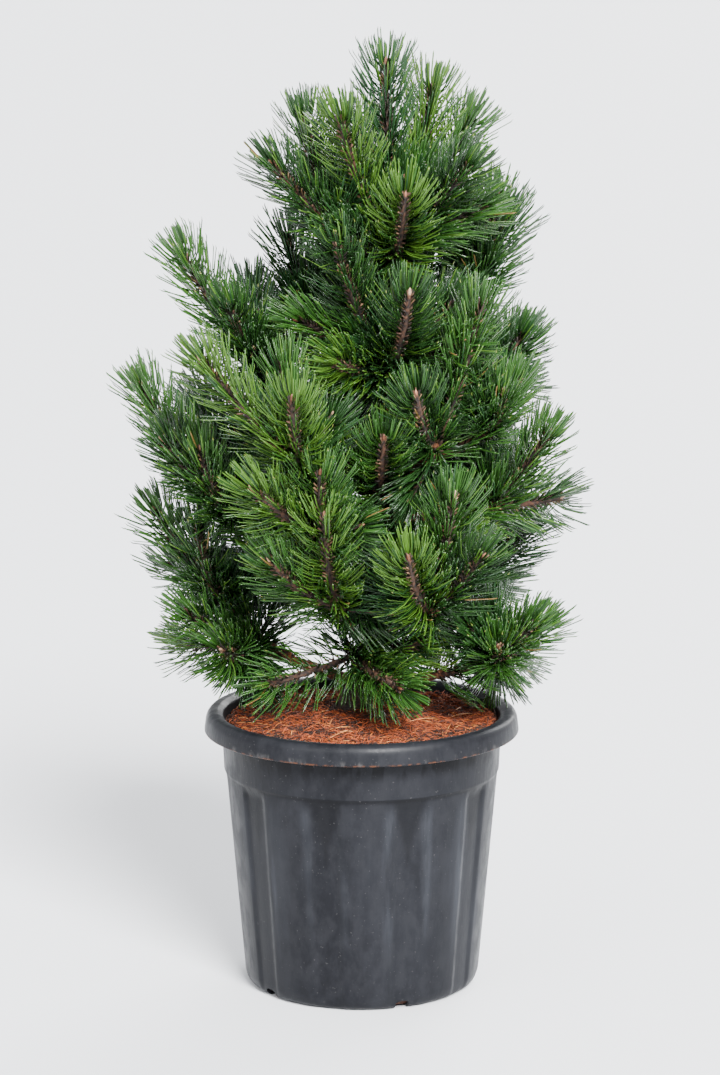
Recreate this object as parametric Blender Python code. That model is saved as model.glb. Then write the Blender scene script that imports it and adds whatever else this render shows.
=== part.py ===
"""A young mugo pine in its black nursery pot, at its real size.

Metres, +Z up. The pot stands on z = 0 with its axis on the Z axis, and -Y is its front. A turn is
counted in degrees from +X towards +Y, and a rise in degrees above level. The trunk, the boughs
and the shoots are all curves worked out from a height or a share, a turn, a rise and a length.
"""

import math
import random

import bmesh
import bpy
import numpy as np

for old in list(bpy.data.objects):
    bpy.data.objects.remove(old, do_unlink=True)

GAP = 0.0003  # clearance where two pieces meet

# Pot sizes: the wall leans out from the foot to a collar, under a hooked rim
POT_HEIGHT = 0.2855
POT_WALL = 0.002
POT_FLOOR = 0.0025
POT_BASE_RADIUS = 0.112
FOOT_RADIUS = 0.1205
BODY_LEAN = 0.088  # how much the wall's radius grows per metre of height
COLLAR_BOTTOM = 0.2255
COLLAR_RADIUS = 0.1415
COLLAR_LEAN = 0.0025  # how much wider the collar is at the rim than at its lower edge
RIM_BOTTOM = 0.2645
RIM_RADIUS = 0.1615
# The rim from inside its skirt, round the skirt's edge and over the top: inset and height
RIM_PROFILE = (
    (0.0075, POT_HEIGHT - 0.004),
    (0.0025, RIM_BOTTOM + 0.001),
    (0.001, RIM_BOTTOM),
    (0.0, RIM_BOTTOM + 0.001),
    (0.002, POT_HEIGHT - 0.008),
    (0.0055, POT_HEIGHT - 0.001),
    (0.010, POT_HEIGHT),
    (0.0165, POT_HEIGHT - 0.0005),
)
FLUTES = 10
FLUTE_DEPTH = 0.003
FLUTE_TURN = 2.3
FLUTE_HALF_WIDTH = 8.0
FLUTE_FLOOR_HALF_WIDTH = 4.5
FLUTE_FOOT_SHARE = 0.6  # a flute's depth at its foot, against its depth at the collar
FLUTE_FOOT = 0.012  # heights of a flute's foot, of its full depth and of its head
FLUTE_TOP = 0.214
FLUTE_HEAD = 0.2235
DRAIN_HOLES = 5
DRAIN_WIDTH = 0.014
DRAIN_HEIGHT = 0.009
DRAIN_REACH = (0.106, 0.126)  # radii between which a hole is cut

# Growing medium sizes
MEDIUM_EDGE = 0.271
MEDIUM_TOP = 0.2757
MEDIUM_SIDES = 24
MEDIUM_CLEARANCE = 0.0012
MEDIUM_LUMPS = 0.0014
# The mound: radius, height, and how far its centre has moved from the pot's to the trunk's
MEDIUM_MOUND = (
    (0.118, MEDIUM_EDGE + 0.0012, 0.15),
    (0.085, MEDIUM_EDGE + 0.0026, 0.4),
    (0.055, MEDIUM_TOP - 0.0008, 0.75),
)
MEDIUM_CROWN_RADIUS = 0.028

# Trunk sizes: height above the medium, then the centre's X and Y there
TRUNK_LINE = (
    (0.000, -0.012, 0.030),
    (0.045, 0.000, 0.018),
    (0.090, 0.010, 0.006),
    (0.240, 0.014, 0.000),
    (0.380, 0.024, 0.000),
    (0.505, 0.032, 0.000),
)
TRUNK_EASE = 0.02  # each bend of the line is eased over this much height either way
TRUNK_FOOT = MEDIUM_TOP + GAP
TRUNK_HEIGHT = 0.505
TRUNK_RADIUS = 0.0115
TRUNK_TIP_RADIUS = 0.0045
FLARE = 0.0075
FLARE_HEIGHT = 0.015
FLARE_LOBES = 5

# Bough and shoot sizes
BOUGH_TIP_RADIUS = 0.0044
SHOOT_RADIUS = 0.0046
SHOOT_TIP_RADIUS = 0.0034
SIDE_FOOT_RADIUS = 0.003
BUD_LENGTH = 0.006
SHOOT_BEND = 8.0
TRUNK_STEM_RISE = 25.0
TRUNK_STEM_LENGTH = 0.010

# Needle sizes: each spike stands for a tuft of needles
NEEDLE_LENGTH = 0.050
NEEDLE_STEP = 0.020
NEEDLE_SIDES = 4
NEEDLE_ANGLE_FOOT = 62.0
NEEDLE_ANGLE_TIP = 34.0
NEEDLE_ANGLE_BUD = 22.0
NEEDLE_BUD_SHARE = 0.82  # the needles round a bud are shorter
NEEDLE_WOBBLE = 5.0
SHORT_NEEDLE_SHARE = 0.62  # of the full length, where a full one has no room
NEEDLE_SPACE = 0.003  # clearances kept round a needle: to other needles, to wood, to the pot
WOOD_SPACE = 0.005
POT_SPACE = 0.004
SEED = 11


def direction(turn, rise):
    turn, rise = math.radians(turn), math.radians(rise)
    return np.array(
        (math.cos(turn) * math.cos(rise), math.sin(turn) * math.cos(rise), math.sin(rise))
    )


def curve(start, turn, rise, length, bend, steps):
    """Points of a limb whose rise grows evenly by the bend, about its middle value."""
    points = [np.array(start, float)]
    for step in range(steps):
        rise_here = rise + bend * ((step + 0.5) / steps - 0.5)
        points.append(points[-1] + direction(turn, rise_here) * length / steps)
    return np.array(points)


def along(points, share):
    """The point at this share of a curve of even steps."""
    place = share * (len(points) - 1)
    return np.array([np.interp(place, range(len(points)), points[:, k]) for k in range(3)])


def frames(points, first=None, last=None):
    """A tangent and two turned-along side vectors for each point; the end tangents can be given."""
    tangents = np.gradient(points, axis=0)
    tangents /= np.linalg.norm(tangents, axis=1)[:, None]
    tangents[0] = tangents[0] if first is None else first
    tangents[-1] = tangents[-1] if last is None else last
    helper = np.array((0.0, 0.0, 1.0)) if abs(tangents[0][2]) < 0.9 else np.array((1.0, 0.0, 0.0))
    across = np.cross(helper, tangents[0])
    sides = []
    for tangent in tangents:
        across = across - tangent * np.dot(across, tangent)
        across /= np.linalg.norm(across)
        sides.append((across, np.cross(tangent, across)))
    return tangents, sides


def material(name, colour, roughness):
    made = bpy.data.materials.new(name)
    made.use_nodes = True
    shader = made.node_tree.nodes["Principled BSDF"]
    shader.inputs["Base Color"].default_value = (*colour, 1.0)
    shader.inputs["Roughness"].default_value = roughness
    shader.inputs["Metallic"].default_value = 0.0
    return made


def mesh_object(name, vertices, faces, finish):
    mesh = bpy.data.meshes.new(name)
    mesh.from_pydata([tuple(v) for v in vertices], [], faces)
    mesh.validate()
    mesh.materials.append(finish)
    made = bpy.data.objects.new(name, mesh)
    bpy.context.scene.collection.objects.link(made)
    return made


def stacked_rings(rings):
    """Vertices and faces of a skin over rings of equal count, closed by flat ends."""
    count = len(rings[0])
    vertices = [tuple(v) for ring in rings for v in ring]
    faces = [tuple(reversed(range(count)))]
    for r in range(len(rings) - 1):
        for j in range(count):
            k = (j + 1) % count
            low, high = r * count, (r + 1) * count
            faces.append((low + j, low + k, high + k, high + j))
    faces.append(tuple(range(len(vertices) - count, len(vertices))))
    return vertices, faces


def cut_away(target, cutter):
    """Takes the cutter's volume out of the target and removes the cutter."""
    modifier = target.modifiers.new("Seat", "BOOLEAN")
    modifier.operation = "DIFFERENCE"
    modifier.object = cutter
    apply_modifiers(target)
    bpy.data.objects.remove(cutter, do_unlink=True)


def apply_modifiers(target):
    graph = bpy.context.evaluated_depsgraph_get()
    graph.update()
    mesh = bpy.data.meshes.new_from_object(target.evaluated_get(graph))
    target.modifiers.clear()
    target.data = mesh


POT_PLASTIC = material("black_pot_plastic", (0.022, 0.026, 0.034), 0.42)
MEDIUM_FINISH = material("coir_and_bark", (0.33, 0.11, 0.035), 0.95)
TRUNK_BARK = material("trunk_bark", (0.085, 0.055, 0.038), 0.9)
BOUGH_BARK = material("bough_bark", (0.16, 0.085, 0.05), 0.88)
NEEDLE_GREEN = material("needle_green", (0.035, 0.13, 0.04), 0.5)


# Pot: one skin that runs up the outside, over the hooked rim and down the inside
def pot_angles():
    """Five angles a flute: its two shoulders, the two ends of its floor, and the rib's middle."""
    pitch = 360.0 / FLUTES
    marks = (
        (-FLUTE_HALF_WIDTH, 0.0),
        (-FLUTE_FLOOR_HALF_WIDTH, 1.0),
        (FLUTE_FLOOR_HALF_WIDTH, 1.0),
        (FLUTE_HALF_WIDTH, 0.0),
        (pitch / 2, 0.0),
    )
    return [
        (math.radians(FLUTE_TURN + pitch * flute + offset), sunk)
        for flute in range(FLUTES)
        for offset, sunk in marks
    ]


def pot_ring(radius, height, flute_share=0.0):
    ring = []
    for angle, sunk in pot_angles():
        r = radius - FLUTE_DEPTH * sunk * flute_share
        ring.append((r * math.cos(angle), r * math.sin(angle), height))
    return ring


def body_radius(height):
    return FOOT_RADIUS + BODY_LEAN * height


def wall_rings(inset):
    """The flutes' four levels of the wall and the collar's foot, from the bottom up."""
    return [
        pot_ring(body_radius(FLUTE_FOOT) - inset, FLUTE_FOOT, FLUTE_FOOT_SHARE),
        pot_ring(body_radius(FLUTE_TOP) - inset, FLUTE_TOP, 1.0),
        pot_ring(body_radius(FLUTE_HEAD) - inset, FLUTE_HEAD),
        pot_ring(COLLAR_RADIUS - inset, COLLAR_BOTTOM),
    ]


def make_pot():
    collar_top = COLLAR_RADIUS + COLLAR_LEAN
    base = [
        pot_ring(POT_BASE_RADIUS, 0.0),
        pot_ring(FOOT_RADIUS - 0.002, 0.0035, FLUTE_FOOT_SHARE / 2),
    ]
    under_rim = [pot_ring(collar_top, POT_HEIGHT - 0.005)]
    rim = [pot_ring(RIM_RADIUS - inset, height) for inset, height in RIM_PROFILE]
    mouth = [pot_ring(collar_top - POT_WALL, POT_HEIGHT - 0.004)]
    floor = [pot_ring(POT_BASE_RADIUS, POT_FLOOR)]
    inside = mouth + wall_rings(POT_WALL)[::-1] + floor
    skin = base + wall_rings(0.0) + under_rim + rim + inside
    pot = mesh_object("pot", *stacked_rings(skin), POT_PLASTIC)
    for hole in range(DRAIN_HOLES):
        turn = FLUTE_TURN + 360.0 / DRAIN_HOLES * hole
        cut_away(pot, drain_cutter(turn))
    shade(pot, 28)


def drain_cutter(turn):
    """A low arch through the foot of the wall, in the floor of every second flute."""
    outline = [(-1.0, -1.0), (1.0, -1.0), (1.0, 0.6), (0.6, 1.0), (-0.6, 1.0), (-1.0, 0.6)]
    out, side = direction(turn, 0), direction(turn + 90, 0)
    rings = []
    for reach in DRAIN_REACH:
        middle = out * reach + np.array((0, 0, DRAIN_HEIGHT / 2))
        rings.append(
            [
                middle + side * (x * DRAIN_WIDTH / 2) + np.array((0, 0, z * DRAIN_HEIGHT / 2))
                for x, z in outline
            ]
        )
    return mesh_object("drain_cutter", *stacked_rings(rings), POT_PLASTIC)


def shade(target, angle):
    target.data.shade_smooth()
    target.data.set_sharp_from_angle(angle=math.radians(angle))


# Growing medium: it fills the pot and heaps a little round the trunk's foot
def make_medium():
    foot = np.array(TRUNK_LINE[0][1:])
    inset = POT_WALL + MEDIUM_CLEARANCE
    collar_inset = POT_WALL + MEDIUM_CLEARANCE / 2
    levels = [
        (POT_BASE_RADIUS - 0.003, POT_FLOOR + GAP, 0.0),
        (body_radius(FLUTE_FOOT) - FLUTE_DEPTH - inset, FLUTE_FOOT, 0.0),
        (body_radius(FLUTE_TOP) - FLUTE_DEPTH - inset, FLUTE_TOP, 0.0),
        (COLLAR_RADIUS - collar_inset, COLLAR_BOTTOM + 0.004, 0.0),
        (COLLAR_RADIUS + 0.75 * COLLAR_LEAN - collar_inset, MEDIUM_EDGE, 0.0),
        *MEDIUM_MOUND,
        (MEDIUM_CROWN_RADIUS, MEDIUM_TOP, 1.0),
    ]
    rng = random.Random(SEED)
    rings = []
    for radius, height, lean in levels:
        lumps = MEDIUM_LUMPS if 0 < lean < 1 else 0.0
        ring = []
        for j in range(MEDIUM_SIDES):
            out = direction(360.0 * j / MEDIUM_SIDES, 0)
            x, y = foot * lean + radius * out[:2]
            ring.append((x, y, height + rng.uniform(-lumps, lumps)))
        rings.append(ring)
    shade(mesh_object("growing_medium", *stacked_rings(rings), MEDIUM_FINISH), 50)


# Trunk: a leaning stem, flared at its foot, that runs on up to the foot of the leading shoot
def trunk_centre(height):
    heights, xs, ys = zip(*TRUNK_LINE)
    low, high = max(height - TRUNK_EASE, 0), min(height + TRUNK_EASE, TRUNK_HEIGHT)
    near = np.linspace(low, high, 9)
    if height < 1e-6 or height > TRUNK_HEIGHT - 1e-6:
        near = np.array([height])
    x, y = np.interp(near, heights, xs).mean(), np.interp(near, heights, ys).mean()
    return np.array((x, y, TRUNK_FOOT + height))


def trunk_radius(height):
    share = 1 - height / TRUNK_HEIGHT
    return TRUNK_TIP_RADIUS + (TRUNK_RADIUS - TRUNK_TIP_RADIUS) * share**0.8


def trunk_rings(grow=0.0, sides=10, levels=14):
    rings = []
    for level in range(levels + 1):
        height = TRUNK_HEIGHT * (level / levels) ** 1.25
        centre = trunk_centre(height)
        flare = FLARE * math.exp(-height / FLARE_HEIGHT)
        ring = []
        for j in range(sides):
            angle = 2 * math.pi * j / sides
            lobe = 1 + 0.3 * math.cos(FLARE_LOBES * angle)
            radius = trunk_radius(height) + flare * lobe + grow
            ring.append(centre + radius * direction(math.degrees(angle), 0))
        rings.append(ring)
    return rings


def make_trunk():
    shade(mesh_object("trunk", *stacked_rings(trunk_rings()), TRUNK_BARK), 60)


# Boughs: name, what carries it, the height or share there, turn, rise, length, bend,
# foot radius, and the share that is bare wood before the needles begin
BOUGHS = (
    ("low_left", "trunk", 0.030, 176, 17, 0.115, -14, 0.0065, 0.92),
    ("low_left_up", "low_left", 0.62, 173, 39, 0.088, 20, 0.0048, 0.6),
    ("low_right", "trunk", 0.034, 340, 13, 0.155, 20, 0.0065, 0.55),
    ("lower_front_left", "trunk", 0.079, 242, 36, 0.082, 16, 0.006, 0.6),
    ("lower_right", "trunk", 0.092, 317, 20, 0.088, 16, 0.006, 0.6),
    ("lower_back_left", "trunk", 0.098, 122, 12, 0.135, 16, 0.0062, 0.5),
    ("lower_back_right", "trunk", 0.085, 48, 10, 0.145, 16, 0.0062, 0.5),
    ("middle_far_left", "trunk", 0.160, 187, 21, 0.158, 24, 0.0062, 0.5),
    ("middle_front_left", "trunk", 0.182, 236, 15, 0.102, 16, 0.0052, 0.6),
    ("right_side", "trunk", 0.208, 355, 6, 0.120, 16, 0.0058, 0.5),
    ("middle_back_right", "trunk", 0.186, 62, 6, 0.125, 14, 0.0058, 0.5),
    ("middle_back_left", "trunk", 0.216, 146, 6, 0.140, 16, 0.0058, 0.5),
    ("middle_left", "trunk", 0.237, 230, 18, 0.119, 16, 0.0058, 0.55),
    ("middle_right", "trunk", 0.241, 320, 31, 0.092, 16, 0.006, 0.75),
    ("middle_right_end", "middle_right", 0.52, 358, 25, 0.088, 12, 0.0045, 0.65),
    ("middle_back", "trunk", 0.262, 96, 8, 0.105, 16, 0.0052, 0.55),
    ("upper_left", "trunk", 0.288, 173, 29, 0.142, 30, 0.0056, 0.5),
    ("back_right", "trunk", 0.296, 40, 11, 0.135, 16, 0.0054, 0.5),
    ("upper_back_left", "trunk", 0.369, 136, 19, 0.115, 16, 0.005, 0.55),
    ("upper_back_right", "trunk", 0.384, 34, 26, 0.130, 16, 0.005, 0.5),
    ("upper_back", "trunk", 0.402, 86, 14, 0.085, 16, 0.0045, 0.6),
    ("top_left", "trunk", 0.456, 204, 38, 0.078, 16, 0.0042, 0.6),
)


def fan(turn, rise, length, spread=48):
    """Shoots of a whorl that nothing hides: a leader, one each side of it and one below."""
    return (
        (turn, rise, length),
        (turn - spread, rise + 6, 0.92 * length),
        (turn + spread, rise + 2, 0.88 * length),
        (turn + 8, rise - 38, 0.75 * length),
    )


# Masses of needles: name, bough or height on the trunk, then each shoot's turn, rise and length,
# and its bend where it sweeps up more than SHOOT_BEND
MASSES = (
    ("leader", 0.505, ((180, 87, 0.150),)),
    ("top_left", "top_left", ((185, 74, 0.114), (212, 43, 0.097), (103, 44, 0.082))),
    ("top_front_left", 0.476, ((235, 60, 0.151),)),
    ("top_front", 0.468, ((279, 44, 0.097, 45), (224, 20, 0.080))),
    ("top_right", 0.484, ((320, 43, 0.113), (0, 24, 0.090))),
    ("top_back_right", 0.492, ((42, 74, 0.147), (34, 52, 0.136))),
    ("top_back", 0.474, ((108, 56, 0.142), (75, 36, 0.134), (150, 34, 0.105))),
    ("upper_front_left", 0.373, ((238, 57, 0.135, 20), (200, 22, 0.090))),
    ("upper_front", 0.350, ((285, 48, 0.122, 45), (230, 13, 0.081))),
    ("upper_right", 0.362, ((351, 47, 0.085), (312, 17, 0.096))),
    ("upper_back_right", "upper_back_right", ((46, 57, 0.081), (330, 78, 0.092), (103, 44, 0.085))),
    ("upper_left", "upper_left", ((177, 57, 0.142), (239, 52, 0.088), (99, 55, 0.095))),
    ("upper_back_left", "upper_back_left", ((136, 69, 0.085), (60, 34, 0.075), (131, 8, 0.075))),
    ("upper_back", "upper_back", fan(82, 42, 0.115)),
    ("middle_left", "middle_left", ((202, 47, 0.154), (260, 56, 0.091, 45), (142, 76, 0.103))),
    ("middle_far_left", "middle_far_left", ((164, 53, 0.157), (208, 47, 0.107), (241, 53, 0.092, 45))),
    ("middle_front_left", "middle_front_left", ((220, 32, 0.097, 20), (273, 57, 0.078, 45))),
    ("middle_front", 0.222, ((275, 43, 0.110, 45), (232, 42, 0.082))),
    ("middle_right", "middle_right", ((329, 71, 0.155), (246, 49, 0.081, 45))),
    ("middle_right_end", "middle_right_end", ((20, 57, 0.060), (297, 52, 0.057, 30))),
    ("right_side", "right_side", ((332, 52, 0.101), (27, 3, 0.080), (73, 27, 0.085))),
    ("back_right", "back_right", fan(32, 46, 0.085)),
    ("middle_back", "middle_back", fan(96, 44, 0.125)),
    ("middle_back_left", "middle_back_left", fan(146, 42, 0.120)),
    ("middle_back_right", "middle_back_right", fan(56, 38, 0.105)),
    ("lower_front_left", "lower_front_left", ((222, 33, 0.107, 30), (260, 55, 0.131, 45))),
    ("lower_right", "lower_right", ((296, 68, 0.134), (318, 43, 0.092), (252, 41, 0.103, 45))),
    ("lower_back_left", "lower_back_left", fan(124, 36, 0.115)),
    ("lower_back_right", "lower_back_right", fan(48, 36, 0.110)),
    ("low_left", "low_left", ((218, 31, 0.096), (158, 2, 0.080), (248, 12, 0.077, 30))),
    ("low_left_up", "low_left_up", ((184, 54, 0.124), (244, 56, 0.113, 45), (134, 19, 0.095))),
    ("low_right", "low_right", ((268, 27, 0.043, 45), (3, 35, 0.060), (69, -4, 0.090), (319, 43, 0.060))),
    ("inner_right", 0.140, ((342, 26, 0.100), (18, 40, 0.085))),
    ("inner_left", 0.128, ((196, 26, 0.105), (160, 44, 0.085))),
    ("low_front", 0.055, ((225, -5, 0.120), (300, -8, 0.098), (333, 15, 0.085))),
)


class Limb:
    """A bough: its whole curve, and the tapered wood that carries the needles' stem."""

    steps = 8

    def __init__(self, name, carrier, place, turn, rise, length, bend, radius, bare):
        self.name, self.carrier, self.radius, self.bare = name, carrier, radius, bare
        if carrier == "trunk":
            start = trunk_centre(place)
        else:
            start = along(LIMBS[carrier].points, place)
        self.points = curve(start, turn, rise, length, bend, self.steps)
        self.cut_tangent = direction(turn, rise + bend * (bare - 0.5))

    def radius_at(self, share):
        return self.radius + (BOUGH_TIP_RADIUS - self.radius) * share

    def rings(self, grow=0.0, sides=6, steps=3):
        shares = np.linspace(0, self.bare, steps + 1)
        centres = np.array([along(self.points, share) for share in shares])
        radii = [self.radius_at(share) + grow for share in shares]
        return tube_rings(centres, radii, sides, last=self.cut_tangent)


def tube_rings(centres, radii, sides, twist=0.0, first=None, last=None):
    _, side_vectors = frames(centres, first, last)
    rings = []
    for level, (centre, radius, (a, b)) in enumerate(zip(centres, radii, side_vectors)):
        turns = [2 * math.pi * (j + twist * level) / sides for j in range(sides)]
        rings.append([centre + radius * (math.cos(t) * a + math.sin(t) * b) for t in turns])
    return rings


def make_boughs():
    for limb in LIMBS.values():
        bough = mesh_object("bough_" + limb.name, *stacked_rings(limb.rings()), BOUGH_BARK)
        if limb.carrier == "trunk":
            cut_away(bough, mesh_object("seat", *stacked_rings(trunk_rings(GAP)), BOUGH_BARK))
        else:
            carrier_rings = LIMBS[limb.carrier].rings(GAP)
            cut_away(bough, mesh_object("seat", *stacked_rings(carrier_rings), BOUGH_BARK))
        shade(bough, 60)


class Shoot:
    """One needled axis of a mass, from its foot to its bud."""

    def __init__(self, points, foot_radius, first_tangent=None):
        self.points, self.first_tangent = points, first_tangent
        self.radii = np.linspace(SHOOT_RADIUS, SHOOT_TIP_RADIUS, len(points))
        self.radii[0] = foot_radius


def needle_steps(length):
    return max(2, round(length / NEEDLE_STEP))


def shoot_curve(start, turn, rise, length, bend=SHOOT_BEND):
    return curve(start, turn, rise, length, bend, needle_steps(length))


def bough_stem(limb):
    """The needled outer end of a bough, from just beyond its bare wood to its tip."""
    start = along(limb.points, limb.bare) + limb.cut_tangent * GAP
    steps = needle_steps(np.linalg.norm(limb.points[-1] - start))
    shares = np.linspace(limb.bare, 1.0, steps + 1)[1:]
    return np.array([start, *[along(limb.points, share) for share in shares]])


def trunk_stem(height, turn):
    """A short stem out of the trunk, or the one that carries the leading shoot on its tip."""
    start = trunk_centre(height)
    if height >= TRUNK_HEIGHT:
        return np.array([start + (0, 0, GAP), start + (0, 0, TRUNK_STEM_LENGTH)])
    length = trunk_radius(height) + TRUNK_STEM_LENGTH
    return curve(start, turn, TRUNK_STEM_RISE, length, 0, 1)


def shoots_of(place, sizes):
    """A stem that runs on as the leading shoot, and the side shoots that leave it at its knot."""
    if isinstance(place, str):
        limb = LIMBS[place]
        stem, foot_radius, tangent = bough_stem(limb), limb.radius_at(limb.bare), limb.cut_tangent
    else:
        stem, foot_radius, tangent = trunk_stem(place, sizes[0][0]), TRUNK_TIP_RADIUS, None
    knot = stem[-1]
    leader = np.concatenate([stem, shoot_curve(knot, *sizes[0])[1:]])
    sides = [Shoot(shoot_curve(knot, *size), SIDE_FOOT_RADIUS) for size in sizes[1:]]
    return [Shoot(leader, foot_radius, tangent), *sides]


LIMBS = {}
for bough_row in BOUGHS:
    LIMBS[bough_row[0]] = Limb(*bough_row)
SHOOTS = {name: shoots_of(place, sizes) for name, place, sizes in MASSES}


def dense(points, spacing=0.005):
    """Points every few millimetres along a curve."""
    steps = max(2, round(np.linalg.norm(points[-1] - points[0]) / spacing))
    return np.array([along(points, share) for share in np.linspace(0, 1, steps + 1)])


class Space:
    """Where each needle may stand: nearer to its own mass than to any other, and off the wood."""

    def __init__(self):
        axes, owners, masses = [], [], []
        for name, shoots in SHOOTS.items():
            for shoot in shoots:
                points = dense(shoot.points)
                axes.append(points)
                owners += [id(shoot)] * len(points)
                masses += [name] * len(points)
        self.axes, self.owners = np.concatenate(axes), np.array(owners)
        self.masses = np.array(masses)
        self.standing = {name: [] for name in SHOOTS}
        wood, girths = [], []
        for limb in LIMBS.values():
            shares = np.linspace(0, limb.bare, 16)
            wood += [along(limb.points, share) for share in shares]
            girths += [limb.radius_at(share) for share in shares]
        for height in np.linspace(0, TRUNK_HEIGHT, 90):
            wood.append(trunk_centre(height))
            girths.append(trunk_radius(height) + FLARE * math.exp(-height / FLARE_HEIGHT))
        self.wood, self.girths = np.array(wood), np.array(girths)

    def takes(self, foot, tip, shoot, name):
        """True, and the place is then taken, where the needle from foot to tip is clear."""
        probes = foot + np.linspace(0.2, 1.0, 9)[:, None] * (tip - foot)
        gaps = np.linalg.norm(probes[:, None] - self.axes[None], axis=2)
        own_mass, own_shoot = self.masses == name, self.owners == id(shoot)
        nearer = gaps[:, own_mass].min(axis=1) + NEEDLE_SPACE < gaps[:, ~own_mass].min(axis=1)
        siblings = gaps[:, own_mass & ~own_shoot]
        touching = siblings.size > 0 and siblings.min() < SHOOT_RADIUS + NEEDLE_SPACE
        if touching or not nearer.all():
            return False
        others = [taken for owner, taken in self.standing[name] if owner != id(shoot)]
        if others:
            crossing = np.linalg.norm(probes[:, None] - np.concatenate(others)[None], axis=2)
            if crossing.min() < 1.5 * NEEDLE_SPACE:
                return False
        off_wood = np.linalg.norm(probes[:, None] - self.wood[None], axis=2) - self.girths
        radius = np.hypot(probes[:, 0], probes[:, 1])
        over_pot = probes[:, 2] > POT_HEIGHT + POT_SPACE
        in_mouth = radius < COLLAR_RADIUS - POT_WALL - POT_SPACE
        in_pot = in_mouth & (probes[:, 2] > MEDIUM_TOP + POT_SPACE)
        beside_pot = radius > RIM_RADIUS + POT_SPACE
        off_pot = over_pot | in_pot | beside_pot
        clear = off_wood.min() > WOOD_SPACE and off_pot.all()
        if clear:
            self.standing[name].append((id(shoot), probes))
        return clear


def needled_core(shoot, name, space, rng, sides=NEEDLE_SIDES):
    """Vertices and faces of a slim core, with the clear ones of its faces drawn out to needles.

    Each ring is turned half a side from the last, so the needles stand in a spiral.
    """
    tangents, _ = frames(shoot.points, shoot.first_tangent)
    rings = tube_rings(shoot.points, shoot.radii, sides, 0.5, shoot.first_tangent)
    vertices = [v for ring in rings for v in ring]
    faces = [tuple(reversed(range(sides)))]
    last = len(rings) - 1

    def add_needle(corners, level, angle, length):
        foot = np.mean([vertices[c] for c in corners], axis=0)
        out = foot - shoot.points[level]
        out -= tangents[level] * np.dot(out, tangents[level])
        out /= np.linalg.norm(out)
        angle = math.radians(angle + rng.uniform(-NEEDLE_WOBBLE, NEEDLE_WOBBLE))
        lean = tangents[level] * math.cos(angle) + out * math.sin(angle)
        reach = lean * length * rng.uniform(0.86, 1.04)
        for share in (1.0, SHORT_NEEDLE_SHARE):
            if space.takes(foot, foot + reach * share, shoot, name):
                vertices.append(foot + reach * share)
                a, b, c = corners
                apex = len(vertices) - 1
                faces.extend([(a, b, apex), (b, c, apex), (c, a, apex)])
                return
        faces.append(corners)

    for level in range(last):
        share = level / last
        angle = NEEDLE_ANGLE_FOOT + (NEEDLE_ANGLE_TIP - NEEDLE_ANGLE_FOOT) * share
        for j in range(sides):
            k = (j + 1) % sides
            low, high = level * sides, (level + 1) * sides
            add_needle((low + j, low + k, high + j), level, angle, NEEDLE_LENGTH)
            faces.append((low + k, high + k, high + j))
    top = last * sides
    vertices.append(shoot.points[-1] + tangents[-1] * BUD_LENGTH)
    bud = len(vertices) - 1
    for j in range(sides):
        corners = (top + j, top + (j + 1) % sides, bud)
        add_needle(corners, last, NEEDLE_ANGLE_BUD, NEEDLE_LENGTH * NEEDLE_BUD_SHARE)
    return vertices, faces


def is_closed(mesh):
    checked = bmesh.new()
    checked.from_mesh(mesh)
    closed = bool(checked.faces) and all(edge.is_manifold for edge in checked.edges)
    checked.free()
    return closed


def fuse(name, pieces):
    """Joins the pieces by one Boolean union on a collection, and removes them."""
    body, others = pieces[0], pieces[1:]
    body.name = name
    if not others:
        return body
    group = bpy.data.collections.new(name)
    for piece in others:
        group.objects.link(piece)
    for solver in ("EXACT", "MANIFOLD"):
        modifier = body.modifiers.new("Join", "BOOLEAN")
        modifier.operation = "UNION"
        modifier.operand_type = "COLLECTION"
        modifier.collection = group
        modifier.solver = solver
        whole = body.data
        apply_modifiers(body)
        if is_closed(body.data):
            break
        body.data = whole
    for piece in others:
        bpy.data.objects.remove(piece, do_unlink=True)
    bpy.data.collections.remove(group)
    keep_largest_shell(body)
    return body


def keep_largest_shell(target):
    """Drops loose scraps and the walls of sealed hollows."""
    mesh = bmesh.new()
    mesh.from_mesh(target.data)
    left, shells = set(mesh.faces), []
    while left:
        shell, edge_of_search = set(), [left.pop()]
        while edge_of_search:
            face = edge_of_search.pop()
            shell.add(face)
            for edge in face.edges:
                for neighbour in edge.link_faces:
                    if neighbour in left:
                        left.discard(neighbour)
                        edge_of_search.append(neighbour)
        shells.append(shell)
    shells.sort(key=len)
    extra = [face for shell in shells[:-1] for face in shell]
    bmesh.ops.delete(mesh, geom=extra, context="FACES")
    mesh.to_mesh(target.data)
    mesh.free()


def make_masses():
    space = Space()
    for name, place, _ in MASSES:
        rng = random.Random(f"{SEED} {name}")
        pieces = []
        for shoot in SHOOTS[name]:
            skin = needled_core(shoot, name, space, rng)
            pieces.append(mesh_object("shoot", *skin, NEEDLE_GREEN))
        mass = fuse("needles_" + name, pieces)
        if not isinstance(place, str) and name != "leader":
            cut_away(mass, mesh_object("seat", *stacked_rings(trunk_rings(GAP)), NEEDLE_GREEN))


make_pot()
make_medium()
make_trunk()
make_boughs()
make_masses()
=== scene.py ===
"""A young mugo pine in its black nursery pot: the finish of every surface, and every needle.

Metres, +Z up. The pot stands on z = 0 with its axis on the Z axis, and -Y is its front. The limbs
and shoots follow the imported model's own rule, with the needles, buds and bark that it stands for.
"""

import math

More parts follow.
